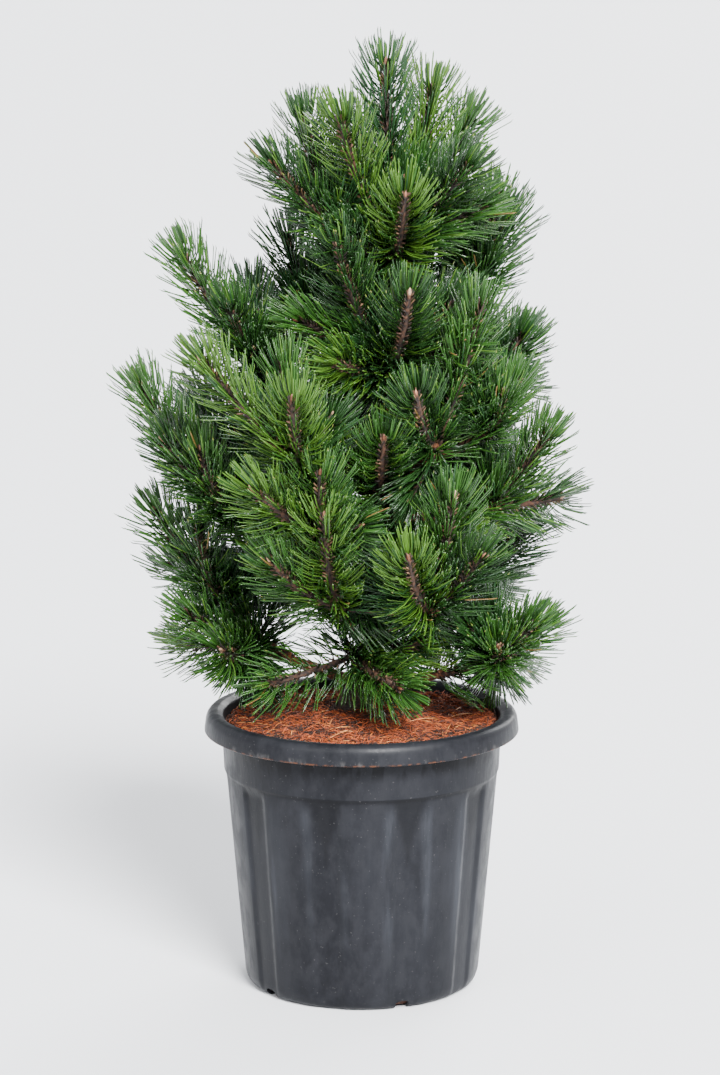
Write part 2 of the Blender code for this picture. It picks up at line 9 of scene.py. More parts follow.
import bpy
import numpy as np
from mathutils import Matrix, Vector


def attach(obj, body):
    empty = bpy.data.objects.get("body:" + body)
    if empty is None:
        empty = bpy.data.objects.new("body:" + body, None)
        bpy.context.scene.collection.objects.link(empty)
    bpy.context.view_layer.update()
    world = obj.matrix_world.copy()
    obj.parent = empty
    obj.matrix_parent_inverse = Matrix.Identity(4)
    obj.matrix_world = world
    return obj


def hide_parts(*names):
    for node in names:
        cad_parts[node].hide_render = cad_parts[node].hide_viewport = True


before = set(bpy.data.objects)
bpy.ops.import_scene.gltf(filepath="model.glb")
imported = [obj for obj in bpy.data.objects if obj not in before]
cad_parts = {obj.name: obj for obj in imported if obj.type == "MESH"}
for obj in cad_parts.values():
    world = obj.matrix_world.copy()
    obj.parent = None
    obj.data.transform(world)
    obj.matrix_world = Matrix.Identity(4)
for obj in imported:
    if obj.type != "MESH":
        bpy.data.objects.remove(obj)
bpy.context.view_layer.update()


# Pot: a blow-moulded nursery pot of black polyethylene, with ten shallow flutes under a plain
# collar and a rolled rim. It is one skin with a wall of 2 mm, dusty and marked by dried water.
POT_HEIGHT = 0.2855
COLLAR_RADIUS = 0.1415
RIM_RADIUS = 0.1615
# Profile rows from the middle of the underside round to the middle of the floor inside:
# radius, height, how much of a flute's depth shows there, and the radius of the rounded corner
POT_PROFILE = (
    (0.112, 0.0, 0.0, 0.001),
    (0.1185, 0.0035, 0.3, 0.003),
    (0.12156, 0.012, 0.6, 0.003),
    (0.13933, 0.214, 1.0, 0.003),
    (0.14017, 0.2225, 0.0, 0.0015),
    (0.1415, 0.2255, 0.0, 0.0012),
    (0.144, 0.2805, 0.0, 0.002),
    (0.154, 0.2815, 0.0, 0.002),
    (0.159, 0.2655, 0.0, 0.0006),
    (0.1605, 0.2645, 0.0, 0.0008),
    (0.1615, 0.2655, 0.0, 0.001),
    (0.1597, 0.28, 0.0, 0.004),
    (0.1555, 0.2853, 0.0, 0.0035),
    (0.1475, 0.2854, 0.0, 0.002),
    (0.142, 0.2815, 0.0, 0.002),
    (0.1395, 0.2255, 0.0, 0.002),
    (0.13817, 0.2225, 0.0, 0.0015),
    (0.13733, 0.214, 1.0, 0.003),
    (0.11956, 0.012, 0.6, 0.003),
    (0.112, 0.0025, 0.0, 0.001),
)
FLUTES = 10
FLUTE_TURN = 2.3
FLUTE_DEPTH = 0.003
FLUTE_TOP = 0.2235
FLUTE_OFFSETS = (-8, -7.4, -6.6, -5.8, -5, -4.3, -2.2, 0, 2.2, 4.3, 5, 5.8, 6.6, 7.4, 8)
RIB_OFFSETS = (10.5, 13, 15.5, 18, 20.5, 23, 25.5)
DRAIN_HOLES = 5
DRAIN_SIZE = (0.007, 0.0045)


def ease(low, high, value):
    """A cubic step: 3t^2 - 2t^3, where t runs from 0 at low to 1 at high."""
    t = np.clip((value - low) / (high - low), 0, 1)
    return t * t * (3 - 2 * t)


def rounded(rows, arc=4):
    """The profile with each corner turned into a quadratic curve between points on its two sides."""
    rows = np.array(rows)
    out = [rows[0, :3]]
    for before, corner, after in zip(rows[:-2], rows[1:-1], rows[2:]):
        ends = []
        for side in (before, after):
            share = min(corner[3] / np.linalg.norm((side - corner)[:2]), 0.45)
            ends.append(corner[:3] + (side - corner)[:3] * share)
        t = np.linspace(0, 1, arc)[:, None]
        out.extend((1 - t) ** 2 * ends[0] + 2 * t * (1 - t) * corner[:3] + t**2 * ends[1])
    out.append(rows[-1, :3])
    return np.array(out)


def ring_quads(rows, columns):
    """Quads between neighbouring rows of a grid whose rows close on themselves."""
    row, column = np.meshgrid(np.arange(rows - 1), np.arange(columns), indexing="ij")
    low, right = row * columns, (column + 1) % columns
    quads = (low + column, low + right, low + columns + right, low + columns + column)
    return np.stack(quads, axis=-1).reshape(-1, 4)


def end_fans(rows, columns, first, last):
    """Triangles that close the first and last row of such a grid at two middle points."""
    column = np.arange(columns)
    right = (column + 1) % columns
    foot = np.stack([np.full(columns, first), right, column], axis=-1)
    high = (rows - 1) * columns
    return foot, np.stack([np.full(columns, last), high + column, high + right], axis=-1)


def new_piece(name, vertices, faces, finishes, worn=None, slot=None, replaces=()):
    """A smooth mesh from an array of vertices and arrays of equal-sided faces, riding on the part."""
    mesh = bpy.data.meshes.new(name)
    corners = np.concatenate([group.ravel() for group in faces]).astype(np.int32)
    sides = np.concatenate([np.full(len(group), group.shape[1]) for group in faces])
    mesh.vertices.add(len(vertices))
    mesh.vertices.foreach_set("co", np.asarray(vertices, np.float32).ravel())
    mesh.loops.add(len(corners))
    mesh.loops.foreach_set("vertex_index", corners)
    mesh.polygons.add(len(sides))
    mesh.polygons.foreach_set("loop_start", (np.cumsum(sides) - sides).astype(np.int32))
    mesh.polygons.foreach_set("use_smooth", np.ones(len(sides), bool))
    for finish in finishes:
        mesh.materials.append(finish)
    if worn is not None:
        mesh.polygons.foreach_set("material_index", np.asarray(worn, np.int32))
    mesh.update()
    mesh.validate()
    piece = bpy.data.objects.new(name, mesh)
    bpy.context.scene.collection.objects.link(piece)
    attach(piece, "root")
    if replaces:
        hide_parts(*replaces)
    return piece


def node(tree, kind, inputs=None, **settings):
    """Adds a shader node, gives it its settings, and sets or links each named input."""
    made = tree.nodes.new("ShaderNode" + kind)
    for key, value in settings.items():
        setattr(made, key, value)
    for key, value in (inputs or {}).items():
        if isinstance(value, bpy.types.NodeSocket):
            tree.links.new(value, made.inputs[key])
        else:
            made.inputs[key].default_value = value
    return made


def ramp(tree, value, low, high):
    """A smooth mask from 0 to 1 as the value runs from low to high, which may be the lesser."""
    settings = {"Value": value, "From Min": low, "From Max": high}
    return node(tree, "MapRange", settings, interpolation_type="SMOOTHSTEP").outputs["Result"]


def maths(tree, operation, *values):
    return node(tree, "Math", dict(enumerate(values)), operation=operation).outputs[0]


def times(tree, product, *factors):
    """The product of masks and plain numbers."""
    for factor in factors:
        product = maths(tree, "MULTIPLY", product, factor)
    return product


def band(tree, value, start, full, fading, end):
    """A mask that rises from start to full and falls from fading to end."""
    return times(tree, ramp(tree, value, start, full), ramp(tree, value, end, fading))


def blended(tree, share, first, second):
    """One colour over another by a mask; each is a plain colour or a socket."""
    made = node(tree, "Mix", {"Factor": share}, data_type="RGBA")
    for socket, colour in ((made.inputs[6], first), (made.inputs[7], second)):
        if isinstance(colour, bpy.types.NodeSocket):
            tree.links.new(colour, socket)
        else:
            socket.default_value = (*colour, 1.0)
    return made.outputs[2]


def noise(tree, scale, stretch=(1, 1, 1), detail=4.0, roughness=0.55):
    """Noise on the piece's own place, drawn out along an axis where its stretch is under 1."""
    place = node(tree, "TexCoord").outputs["Object"]
    mapped = node(tree, "Mapping", {"Vector": place, "Scale": stretch}).outputs["Vector"]
    settings = {"Vector": mapped, "Scale": scale, "Detail": detail, "Roughness": roughness}
    return node(tree, "TexNoise", settings).outputs["Fac"]


def finish(name, roughness=0.5):
    """A new material, with its tree and its shader."""
    made = bpy.data.materials.new(name)
    made.use_nodes = True
    shader = made.node_tree.nodes["Principled BSDF"]
    shader.inputs["Roughness"].default_value = roughness
    return made, made.node_tree, shader


def dress(tree, shader, colour, relief, strength, distance):
    """Gives the shader its colour, and a bump from the relief."""
    tree.links.new(colour, shader.inputs["Base Color"])
    bump = node(tree, "Bump", {"Strength": strength, "Distance": distance, "Height": relief})
    tree.links.new(bump.outputs["Normal"], shader.inputs["Normal"])


def flute_offset(tree, axes):
    """Degrees round the axis from the middle of the nearest flute, always positive."""
    half = math.pi / FLUTES
    turned = maths(tree, "SUBTRACT", maths(tree, "ARCTAN2", axes["Y"], axes["X"]), math.radians(FLUTE_TURN))
    size = maths(tree, "ABSOLUTE", maths(tree, "WRAP", turned, half, -half))
    return times(tree, size, math.degrees(1))


def pot_finish():
    """Black plastic with dust on the flutes' shoulders, and dirt, drips and scuffs along the rim; painted
    shade darkens each flute's head and a band under the collar.
    """
    made, tree, shader = finish("pot_plastic")
    shader.inputs["Specular IOR Level"].default_value = 0.09
    place = node(tree, "TexCoord").outputs["Object"]
    axes = node(tree, "SeparateXYZ", {0: place}).outputs
    height, offset = axes["Z"], flute_offset(tree, axes)
    smears = ramp(tree, noise(tree, 34, (1, 1, 0.07), 5.0, 0.6), 0.42, 0.68)
    clouds = ramp(tree, noise(tree, 9, (1, 1, 0.5), 3.0), 0.35, 0.7)
    blotches = ramp(tree, noise(tree, 62, (1, 1, 0.6), 5.0, 0.65), 0.36, 0.66)
    drips = ramp(tree, noise(tree, 55, (1, 1, 0.3), 2.0), 0.47, 0.53)
    scuffs = ramp(tree, noise(tree, 90, (1, 1, 0.35), 6.0, 0.7), 0.5, 0.66)
    crumbs = ramp(tree, noise(tree, 120, detail=4.0, roughness=0.7), 0.46, 0.6)
    specks = ramp(tree, noise(tree, 420, detail=2.0), 0.69, 0.75)
    wall = band(tree, height, 0.02, 0.12, 0.2, 0.222)
    shoulder = band(tree, offset, 4.0, 7.0, 8.5, 12.5)
    # Painted shade: the head of each flute, under the collar's overhang, is darkened in a wedge that
    # narrows downwards
    depth_down = maths(tree, "SUBTRACT", FLUTE_TOP, height)
    wedge = maths(tree, "MULTIPLY_ADD", depth_down, 110.0, offset)
    flute_head_shade = times(tree, ramp(tree, wedge, 9.5, 5.0), ramp(tree, height, 0.2255, FLUTE_TOP))
    # Painted shade: a dark band along the underside of the collar's step
    collar_shade = band(tree, height, 0.2185, FLUTE_TOP, 0.2248, 0.2262)
    under_rim = band(tree, height, 0.24, 0.256, 0.262, 0.2645)
    lip = band(tree, height, 0.2635, 0.2655, 0.267, 0.2715)
    dirt_line = band(tree, height, 0.26, 0.263, 0.2648, 0.2672)
    # Near-black: painted shade in the flutes' heads and under the collar, and the colour of the dark drip
    # streaks under the rim
    shade_and_stain_colour = (0.0016, 0.0017, 0.0022)
    layers = (
        (times(tree, blotches, 0.45), (0.0135, 0.014, 0.0165)),
        (times(tree, shoulder, smears, wall, 0.75, clouds), (0.034, 0.037, 0.044)),
        (times(tree, smears, clouds, wall, 0.2), (0.028, 0.03, 0.036)),
        (times(tree, flute_head_shade, 0.55), shade_and_stain_colour),
        (times(tree, collar_shade, 0.6), shade_and_stain_colour),
        (times(tree, drips, under_rim, 0.7), shade_and_stain_colour),
        (times(tree, lip, scuffs, 0.5), (0.055, 0.053, 0.052)),
        (times(tree, dirt_line, crumbs, 0.8), (0.095, 0.034, 0.013)),
        (times(tree, specks, 0.5), (0.06, 0.058, 0.058)),
    )
    colour = blended(tree, clouds, (0.0042, 0.0045, 0.0058), (0.008, 0.0085, 0.0105))
    for mask, tint in layers:
        colour = blended(tree, mask, colour, tint)
    worn = node(tree, "MapRange", {"Value": blotches, "To Min": 0.34, "To Max": 0.5})
    tree.links.new(worn.outputs[0], shader.inputs["Roughness"])
    dress(tree, shader, colour, noise(tree, 260, (1, 1, 0.25), 3.0), 0.3, 0.0005)
    return made


def pot_skin():
    """Each profile row turned round the Z axis, drawn in by the flutes' eased floor.

    radius(angle) = row's radius - depth * row's share * ease from the shoulder to the floor.
    """
    rows = rounded(POT_PROFILE)
    offsets = np.array(FLUTE_OFFSETS + RIB_OFFSETS)
    pitch = 360.0 / FLUTES
    turns = (FLUTE_TURN + pitch * np.arange(FLUTES)[:, None] + offsets).ravel()
    sunk = np.tile(1 - ease(4.3, 8.0, np.minimum(np.abs(offsets), np.abs(offsets - pitch))), FLUTES)
    radius = rows[:, :1] - FLUTE_DEPTH * rows[:, 2:3] * sunk
    angle = np.radians(turns)
    high = np.broadcast_to(rows[:, 1:2], radius.shape)
    grid = np.stack([radius * np.cos(angle), radius * np.sin(angle), high], axis=-1)
    middles = [(0, 0, rows[0, 1]), (0, 0, rows[-1, 1])]
    vertices = np.concatenate([grid.reshape(-1, 3), middles])
    count = len(grid) * len(angle)
    fans = end_fans(len(grid), len(angle), count, count + 1)
    return vertices, [ring_quads(len(grid), len(angle)), *fans]


def drain_arches():
    """Low arches through the foot of the wall: one outline, turned to every second flute."""
    half = np.array([(1, -1), (1, 0.5), (0.75, 0.85), (0.4, 1)])
    outline = np.concatenate([[(-1, -1)], half, half[:0:-1] * (-1, 1)])
    turns = np.radians(FLUTE_TURN + 360.0 / DRAIN_HOLES * np.arange(DRAIN_HOLES))[:, None, None]
    reach = np.array([0.106, 0.126])[None, :, None]
    side, up = outline[:, 0] * DRAIN_SIZE[0], (outline[:, 1] + 1) * DRAIN_SIZE[1]
    x = reach * np.cos(turns) - side * np.sin(turns)
    y = reach * np.sin(turns) + side * np.cos(turns)
    z = np.broadcast_to(up, x.shape)
    vertices = np.stack([x, y, z], axis=-1).reshape(-1, 3)
    sides = ring_quads(2, 8)
    starts = np.arange(DRAIN_HOLES)[:, None, None] * 16
    caps = np.stack([np.arange(8)[::-1], np.arange(8, 16)])
    return vertices, [(sides + starts).reshape(-1, 4), (caps + starts).reshape(-1, 8)]


pot = new_piece("pot_skin", *pot_skin(), [pot_finish()], slot="pot", replaces=["pot"])
arches = new_piece("drain_arches", *drain_arches(), [pot.data.materials[0]])
cut = pot.modifiers.new("Drain", "BOOLEAN")
cut.operation = "DIFFERENCE"
cut.object = arches
bpy.context.view_layer.update()
holed = bpy.data.meshes.new_from_object(pot.evaluated_get(bpy.context.evaluated_depsgraph_get()))
pot.modifiers.clear()
pot.data = holed
bpy.data.objects.remove(arches, do_unlink=True)
pot.data.set_sharp_from_angle(angle=math.radians(50))


# Growing medium: moist coir and fine bark that fills the pot to just under its rim and heaps a
# little round the trunk's foot. Loose fibres, bark chips and old needles lie over it.
MEDIUM_EDGE = 0.271
MEDIUM_TOP = 0.2757
MEDIUM_RADIUS = 0.1412
# Radius and height of the rings that lie inside the pot's wall, from its floor up
MEDIUM_WALL = np.array(((0.109, 0.0028), (0.1155, 0.012), (0.1332, 0.214), (0.139, 0.2295),
                        (0.141, 0.269)))
MEDIUM_RINGS = 96
MEDIUM_SIDES = 300
BIG_CLODS = (0.016, 0.005)  # width and height
SMALL_CLODS = (0.0055, 0.0026)
TRUNK_FOOT_PLACE = np.array((-0.012, 0.03))
FIBRES = 7600
CHIPS = 1800
OLD_NEEDLES = 46
MEDIUM_SEED = 5


def cells(points, seed=0.0):
    """Distances to the nearest and the next of one jittered point in each unit cell around."""
    home = np.floor(points)
    mixer = np.array([[127.1, 269.5, 113.5], [311.7, 183.3, 271.9], [74.7, 246.1, 124.6]])
    away = []
    for step in np.ndindex(3, 3, 3):
        cell = home + np.array(step) - 1
        jitter = np.mod(np.sin(cell @ mixer + seed) * 43758.5453, 1.0)
        away.append(np.linalg.norm(cell + jitter - points, axis=-1))
    nearest = np.partition(np.array(away), 1, axis=0)
    return nearest[0], nearest[1]


def clods(x, y):
    """Height of the loose surface: a mound, plus rounded clods of two sizes from cell distances."""
    far = np.hypot(x - TRUNK_FOOT_PLACE[0] * 0.5, y - TRUNK_FOOT_PLACE[1] * 0.5)
    mound = MEDIUM_EDGE + (MEDIUM_TOP - MEDIUM_EDGE) * (1 - ease(0.0, 0.13, far))
    flat = np.stack([x, y, np.zeros_like(x)], axis=-1)
    big, _ = cells(flat / BIG_CLODS[0], 3.0)
    small, _ = cells(flat / SMALL_CLODS[0], 7.0)
    return mound + BIG_CLODS[1] * (0.6 - big) + SMALL_CLODS[1] * (0.6 - small)


def medium_body():
    """A dished grid: rings from the foot up the pot's wall, then in over the loose surface."""
    inner = np.linspace(1, 0.004, MEDIUM_RINGS) ** 0.85 * MEDIUM_RADIUS
    angle = np.linspace(0, 2 * np.pi, MEDIUM_SIDES, endpoint=False)
    radius = np.concatenate([MEDIUM_WALL[:, 0], inner])[:, None]
    x, y = radius * np.cos(angle), radius * np.sin(angle)
    z = clods(x, y)
    z[:len(MEDIUM_WALL)] = MEDIUM_WALL[:, 1:]
    middle = np.array([(0, 0, z[0, 0]), (0, 0, z[-1].mean())])
    vertices = np.concatenate([np.stack([x, y, z], axis=-1).reshape(-1, 3), middle])
    fans = end_fans(len(z), MEDIUM_SIDES, z.size, z.size + 1)
    return vertices, [ring_quads(len(z), MEDIUM_SIDES), *fans]


def medium_finish():
    made, tree, shader = finish("coir_and_bark", 0.95)
    lumps = ramp(tree, noise(tree, 70, detail=5.0, roughness=0.65), 0.35, 0.62)
    crumbs = ramp(tree, noise(tree, 420, detail=4.0, roughness=0.7), 0.4, 0.62)
    patches = ramp(tree, noise(tree, 26, detail=3.0, roughness=0.6), 0.46, 0.6)
    colour = blended(tree, lumps, (0.016, 0.0042, 0.0016), (0.11, 0.02, 0.0035))
    colour = blended(tree, times(tree, crumbs, 0.5), colour, (0.2, 0.045, 0.0065))
    colour = blended(tree, times(tree, patches, 0.55), colour, (0.018, 0.007, 0.004))
    dress(tree, shader, colour, noise(tree, 650, detail=5.0, roughness=0.7), 0.9, 0.0015)
    return made


def plain_finishes(*rows):
    """Finishes of small things, each of one colour, a quarter darker or lighter here and there."""
    finishes = []
    for name, colour, roughness in rows:
        made, tree, shader = finish(name, roughness)
        darker, lighter = (tuple(channel * share for channel in colour) for share in (0.75, 1.25))
        spread = ramp(tree, noise(tree, 240, detail=2.0), 0.35, 0.65)
        tree.links.new(blended(tree, spread, darker, lighter), shader.inputs["Base Color"])
        finishes.append(made)
    return finishes


def unit(vectors):
    return vectors / (np.linalg.norm(vectors, axis=-1)[..., None] + 1e-12)


def rings(ways, helper, sides):
    """Unit vectors out from each way, evenly round it: cos a * across + sin a * above."""
    across = unit(np.cross(helper, ways))
    above = np.cross(ways, across)
    turn = np.linspace(0, 2 * np.pi, sides, endpoint=False)[:, None]
    return np.cos(turn) * across[..., None, :] + np.sin(turn) * above[..., None, :]


def dealt(tints, sides):
    """Each strand's tint for all its side faces, strand by strand, and then for both its ends."""
    return np.concatenate([np.repeat(tints, sides), np.repeat(tints, 2)])


def strands(roots, ways, lengths, widths, arch, sides=3, steps=4):
    """Thin bent rods, all at once: each is a parabola from its root along its way.

    point(t) = root + way * length * t + up * arch * 4t(1 - t), with a ring of few sides about it.
    """
    t = np.linspace(0, 1, steps)[None, :, None]
    up = np.array((0.0, 0.0, 1.0))
    rise = arch[:, None, None] * 4 * t * (1 - t)
    path = roots[:, None] + ways[:, None] * lengths[:, None, None] * t + up * rise
    girth = widths[:, None, None, None] / 2 * (1 - 0.75 * np.abs(2 * t - 1) ** 3)[..., None]
    vertices = path[:, :, None] + girth * rings(ways, -up, sides)[:, None]
    count = steps * sides
    quads = ring_quads(steps, sides)
    caps = np.stack([np.arange(sides)[::-1], np.arange(count - sides, count)])
    starts = np.arange(len(roots))[:, None, None] * count
    return vertices.reshape(-1, 3), (quads + starts).reshape(-1, 4), (caps + starts).reshape(-1, sides)


def scattered(rng, count, radius):
    """Even random places on a disc, away from the trunk's foot."""
    places = rng.uniform(-radius, radius, (count * 3, 2))
    off_trunk = np.linalg.norm(places - TRUNK_FOOT_PLACE, axis=1) > 0.016
    return places[(np.linalg.norm(places, axis=1) < radius) & off_trunk][:count]


def lying(rng, count, radius, longest, tilt):
    """Places, ways and lengths of things that lie on the loose surface and stay in the pot."""
    places = scattered(rng, count, radius)
    turn = rng.uniform(0, 2 * np.pi, len(places))
    lengths = longest * rng.uniform(0.3, 1.0, len(places))
    ends = places + lengths[:, None] * np.stack([np.cos(turn), np.sin(turn)], axis=-1)
    inside = np.linalg.norm(ends, axis=1) < MEDIUM_RADIUS - 0.003
    places, ends, lengths = places[inside], ends[inside], lengths[inside]
    foot, tip = clods(*places.T), clods(*ends.T)
    rise = tip - foot + lengths * rng.uniform(0, tilt, len(lengths))
    roots = np.column_stack([places, foot])
    ways = np.column_stack([ends - places, rise])
    long = np.linalg.norm(ways, axis=1)
    return roots, ways / long[:, None], long


new_piece("growing_medium_body", *medium_body(), [medium_finish()], slot="growing_medium",
          replaces=["growing_medium"])
rng = np.random.default_rng(MEDIUM_SEED)
roots, ways, lengths = lying(rng, FIBRES, 0.139, 0.024, 0.35)
widths, arch = rng.uniform(0.0005, 0.0012, len(roots)), rng.uniform(0.0003, 0.005, len(roots))
vertices, quads, caps = strands(roots, ways, lengths, widths, arch)
x, y = roots[:, 0], roots[:, 1]
damp = np.sin(x * 95 + 2) * np.sin(y * 120 + 1) + np.sin(x * 41 - y * 60)
tints = rng.choice(4, len(roots), p=(0.56, 0.28, 0.07, 0.09))
tints = np.where((damp > 0.5) & (rng.random(len(roots)) < 0.6), 3, tints)
fibre_finishes = plain_finishes(
    ("fibre_rust", (0.21, 0.036, 0.0036), 0.9),
    ("fibre_brown", (0.07, 0.013, 0.0024), 0.9),
    ("fibre_tan", (0.34, 0.09, 0.013), 0.85),
    ("fibre_dark", (0.017, 0.0055, 0.0022), 0.95),
)
new_piece("coir_fibres", vertices, [quads, caps], fibre_finishes, dealt(tints, 9), "growing_medium")

roots, ways, lengths = lying(rng, CHIPS, 0.138, 0.008, 0.5)
widths = rng.uniform(0.0015, 0.004, len(roots))
vertices, quads, caps = strands(roots, ways, lengths, widths, np.zeros(len(roots)), 4, 3)
tints = rng.choice(4, len(roots), p=(0.25, 0.35, 0.1, 0.3))
new_piece("bark_chips", vertices, [quads, caps], fibre_finishes, dealt(tints, 8), "growing_medium")

roots, ways, lengths = lying(rng, OLD_NEEDLES, 0.135, 0.055, 0.12)
roots[:, 2] += 0.002
vertices, quads, caps = strands(roots, ways, lengths, np.full(len(roots), 0.0012),
                                rng.uniform(0.001, 0.004, len(roots)), 3, 5)
new_piece("old_needles", vertices, [quads, caps], plain_finishes(("straw", (0.36, 0.135, 0.035), 0.6)),
          slot="growing_medium")


# Trunk: a young pine's stem, about 24 mm thick over a flared foot, leaning a little and then
# straight up through the crown. Its grey-brown bark breaks into small scaly plates.
TRUNK_LINE = np.array((
    (0.000, -0.012, 0.03),
    (0.045, 0.000, 0.018),
    (0.09, 0.01, 0.006),
    (0.24, 0.014, 0.000),
    (0.38, 0.024, 0.000),
    (0.505, 0.032, 0.000),
))
TRUNK_FOOT = MEDIUM_TOP + 0.0003
TRUNK_HEIGHT = 0.505
TRUNK_RADIUS = 0.0115
TRUNK_TIP_RADIUS = 0.0045
TRUNK_EASE = 0.02
TRUNK_SIDES = 72
FLARE = 0.0075
FLARE_HEIGHT = 0.015
PLATE_SIZE = 0.0042
PLATE_DEPTH = 0.0009


def trunk_centre(height):
    """The leaning line at these heights: its rows joined straight, then averaged over 40 mm."""
    height = np.atleast_1d(np.asarray(height, float))
    low = np.maximum(height - TRUNK_EASE, 0)
    high = np.minimum(height + TRUNK_EASE, TRUNK_HEIGHT)
    near = low + (high - low) * np.linspace(0, 1, 9)[:, None]
    ends = (height < 1e-6) | (height > TRUNK_HEIGHT - 1e-6)
    near = np.where(ends, height, near)
    x = np.interp(near, TRUNK_LINE[:, 0], TRUNK_LINE[:, 1]).mean(axis=0)
    y = np.interp(near, TRUNK_LINE[:, 0], TRUNK_LINE[:, 2]).mean(axis=0)
    return np.column_stack([x, y, TRUNK_FOOT + height])


def trunk_radius(height):
    share = np.clip(1 - height / TRUNK_HEIGHT, 0, 1)
    return TRUNK_TIP_RADIUS + (TRUNK_RADIUS - TRUNK_TIP_RADIUS) * share**0.8


def bark_patterns():
    """Masks of a scaly bark: pale flecks, warm patches and a fine grain, for any of its woods."""
    group = bpy.data.node_groups.new("BarkPatterns", "ShaderNodeTree")
    for name in ("Fleck Scale", "Patch Scale"):
        group.interface.new_socket(name, in_out="INPUT", socket_type="NodeSocketFloat")
    for name in ("Fleck", "Patch", "Grain"):
        group.interface.new_socket(name, in_out="OUTPUT", socket_type="NodeSocketFloat")
    taken = group.nodes.new("NodeGroupInput")
    given = group.nodes.new("NodeGroupOutput")
    flecks = noise(group, taken.outputs["Fleck Scale"], (1, 1, 0.6), 3.0, 0.6)
    patches = noise(group, taken.outputs["Patch Scale"], (1, 1, 0.7), 3.0, 0.6)
    group.links.new(ramp(group, flecks, 0.56, 0.68), given.inputs["Fleck"])
    group.links.new(ramp(group, patches, 0.4, 0.6), given.inputs["Patch"])
    group.links.new(noise(group, 1400.0, (1, 1, 0.4), 4.0, 0.7), given.inputs["Grain"])
    return group


def bark_finish(name, dark, main, warm, pale, fleck_scale=300.0, patch_scale=45.0):
    """Bark that is dark in its cracks, with warm patches and pale flecks on its plates."""
    made, tree, shader = finish(name, 0.88)
    patterns = node(tree, "Group", node_tree=BARK_PATTERNS)
    patterns.inputs["Fleck Scale"].default_value = fleck_scale
    patterns.inputs["Patch Scale"].default_value = patch_scale
    raised = node(tree, "Attribute", attribute_name="raised").outputs["Fac"]
    colour = blended(tree, patterns.outputs["Patch"], main, warm)
    colour = blended(tree, times(tree, patterns.outputs["Fleck"], 0.6), colour, pale)
    colour = blended(tree, raised, dark, colour)
    dress(tree, shader, colour, patterns.outputs["Grain"], 0.6, 0.0005)
    return made


def tubes(paths, radii, sides, plate, depth, seed=0.0):
    """Rings square to each path, roughened into plates: the wood of many limbs in one mesh.

    point = centre + (radius + relief) * (cos a * across + sin a * above), and the relief rises
    from a crack to a plate as the gap between the two nearest cell points grows.
    """
    all_points, all_quads, all_fans, all_raised, count = [], [], [], [], 0
    for path, radius in zip(paths, radii):
        tangent = unit(np.gradient(path, axis=0))
        mean = path[-1] - path[0]
        upright = abs(mean[2]) > 0.8 * np.linalg.norm(mean)
        out = rings(tangent, np.array((1.0, 0, 0) if upright else (0, 0, 1.0)), sides)
        grid = path[:, None] + radius[:, None, None] * out
        near, after = cells(grid.reshape(-1, 3) / plate, seed)
        raised = ease(0.03, 0.3, after - near).reshape(grid.shape[:2])
        grid = grid + depth * (raised - 0.6)[..., None] * out
        rows = len(path)
        middles = np.array([path[0], path[-1]])
        all_points += [grid.reshape(-1, 3), middles]
        all_raised += [raised.ravel(), np.ones(2)]
        total = rows * sides
        all_quads.append(ring_quads(rows, sides) + count)
        foot, tip = end_fans(rows, sides, total, total + 1)
        all_fans += [foot + count, tip + count]
        count += total + 2
    faces = [np.concatenate(all_quads), np.concatenate(all_fans)]
    return np.concatenate(all_points), faces, np.concatenate(all_raised)


def wood_piece(name, wood, finishes, slot, replaces=(), worn=None):
    vertices, faces, raised = wood
    piece = new_piece(name, vertices, faces, finishes, worn, slot, replaces)
    layer = piece.data.attributes.new("raised", "FLOAT", "POINT")
    layer.data.foreach_set("value", raised.astype(np.float32))


BARK_PATTERNS = bark_patterns()
climb = np.linspace(0, 1, 420) ** 1.15 * TRUNK_HEIGHT
girth = trunk_radius(climb) + FLARE * np.exp(-climb / FLARE_HEIGHT)
trunk_path = trunk_centre(climb)
trunk_path[0, 2] -= 0.004
trunk_wood = tubes([trunk_path], [girth], TRUNK_SIDES, PLATE_SIZE, PLATE_DEPTH)
trunk_bark = bark_finish("trunk_bark", (0.006, 0.004, 0.003), (0.032, 0.02, 0.014),
                         (0.06, 0.026, 0.013), (0.095, 0.072, 0.054))
wood_piece("trunk_wood", trunk_wood, [trunk_bark], "trunk_bark", ["trunk"])


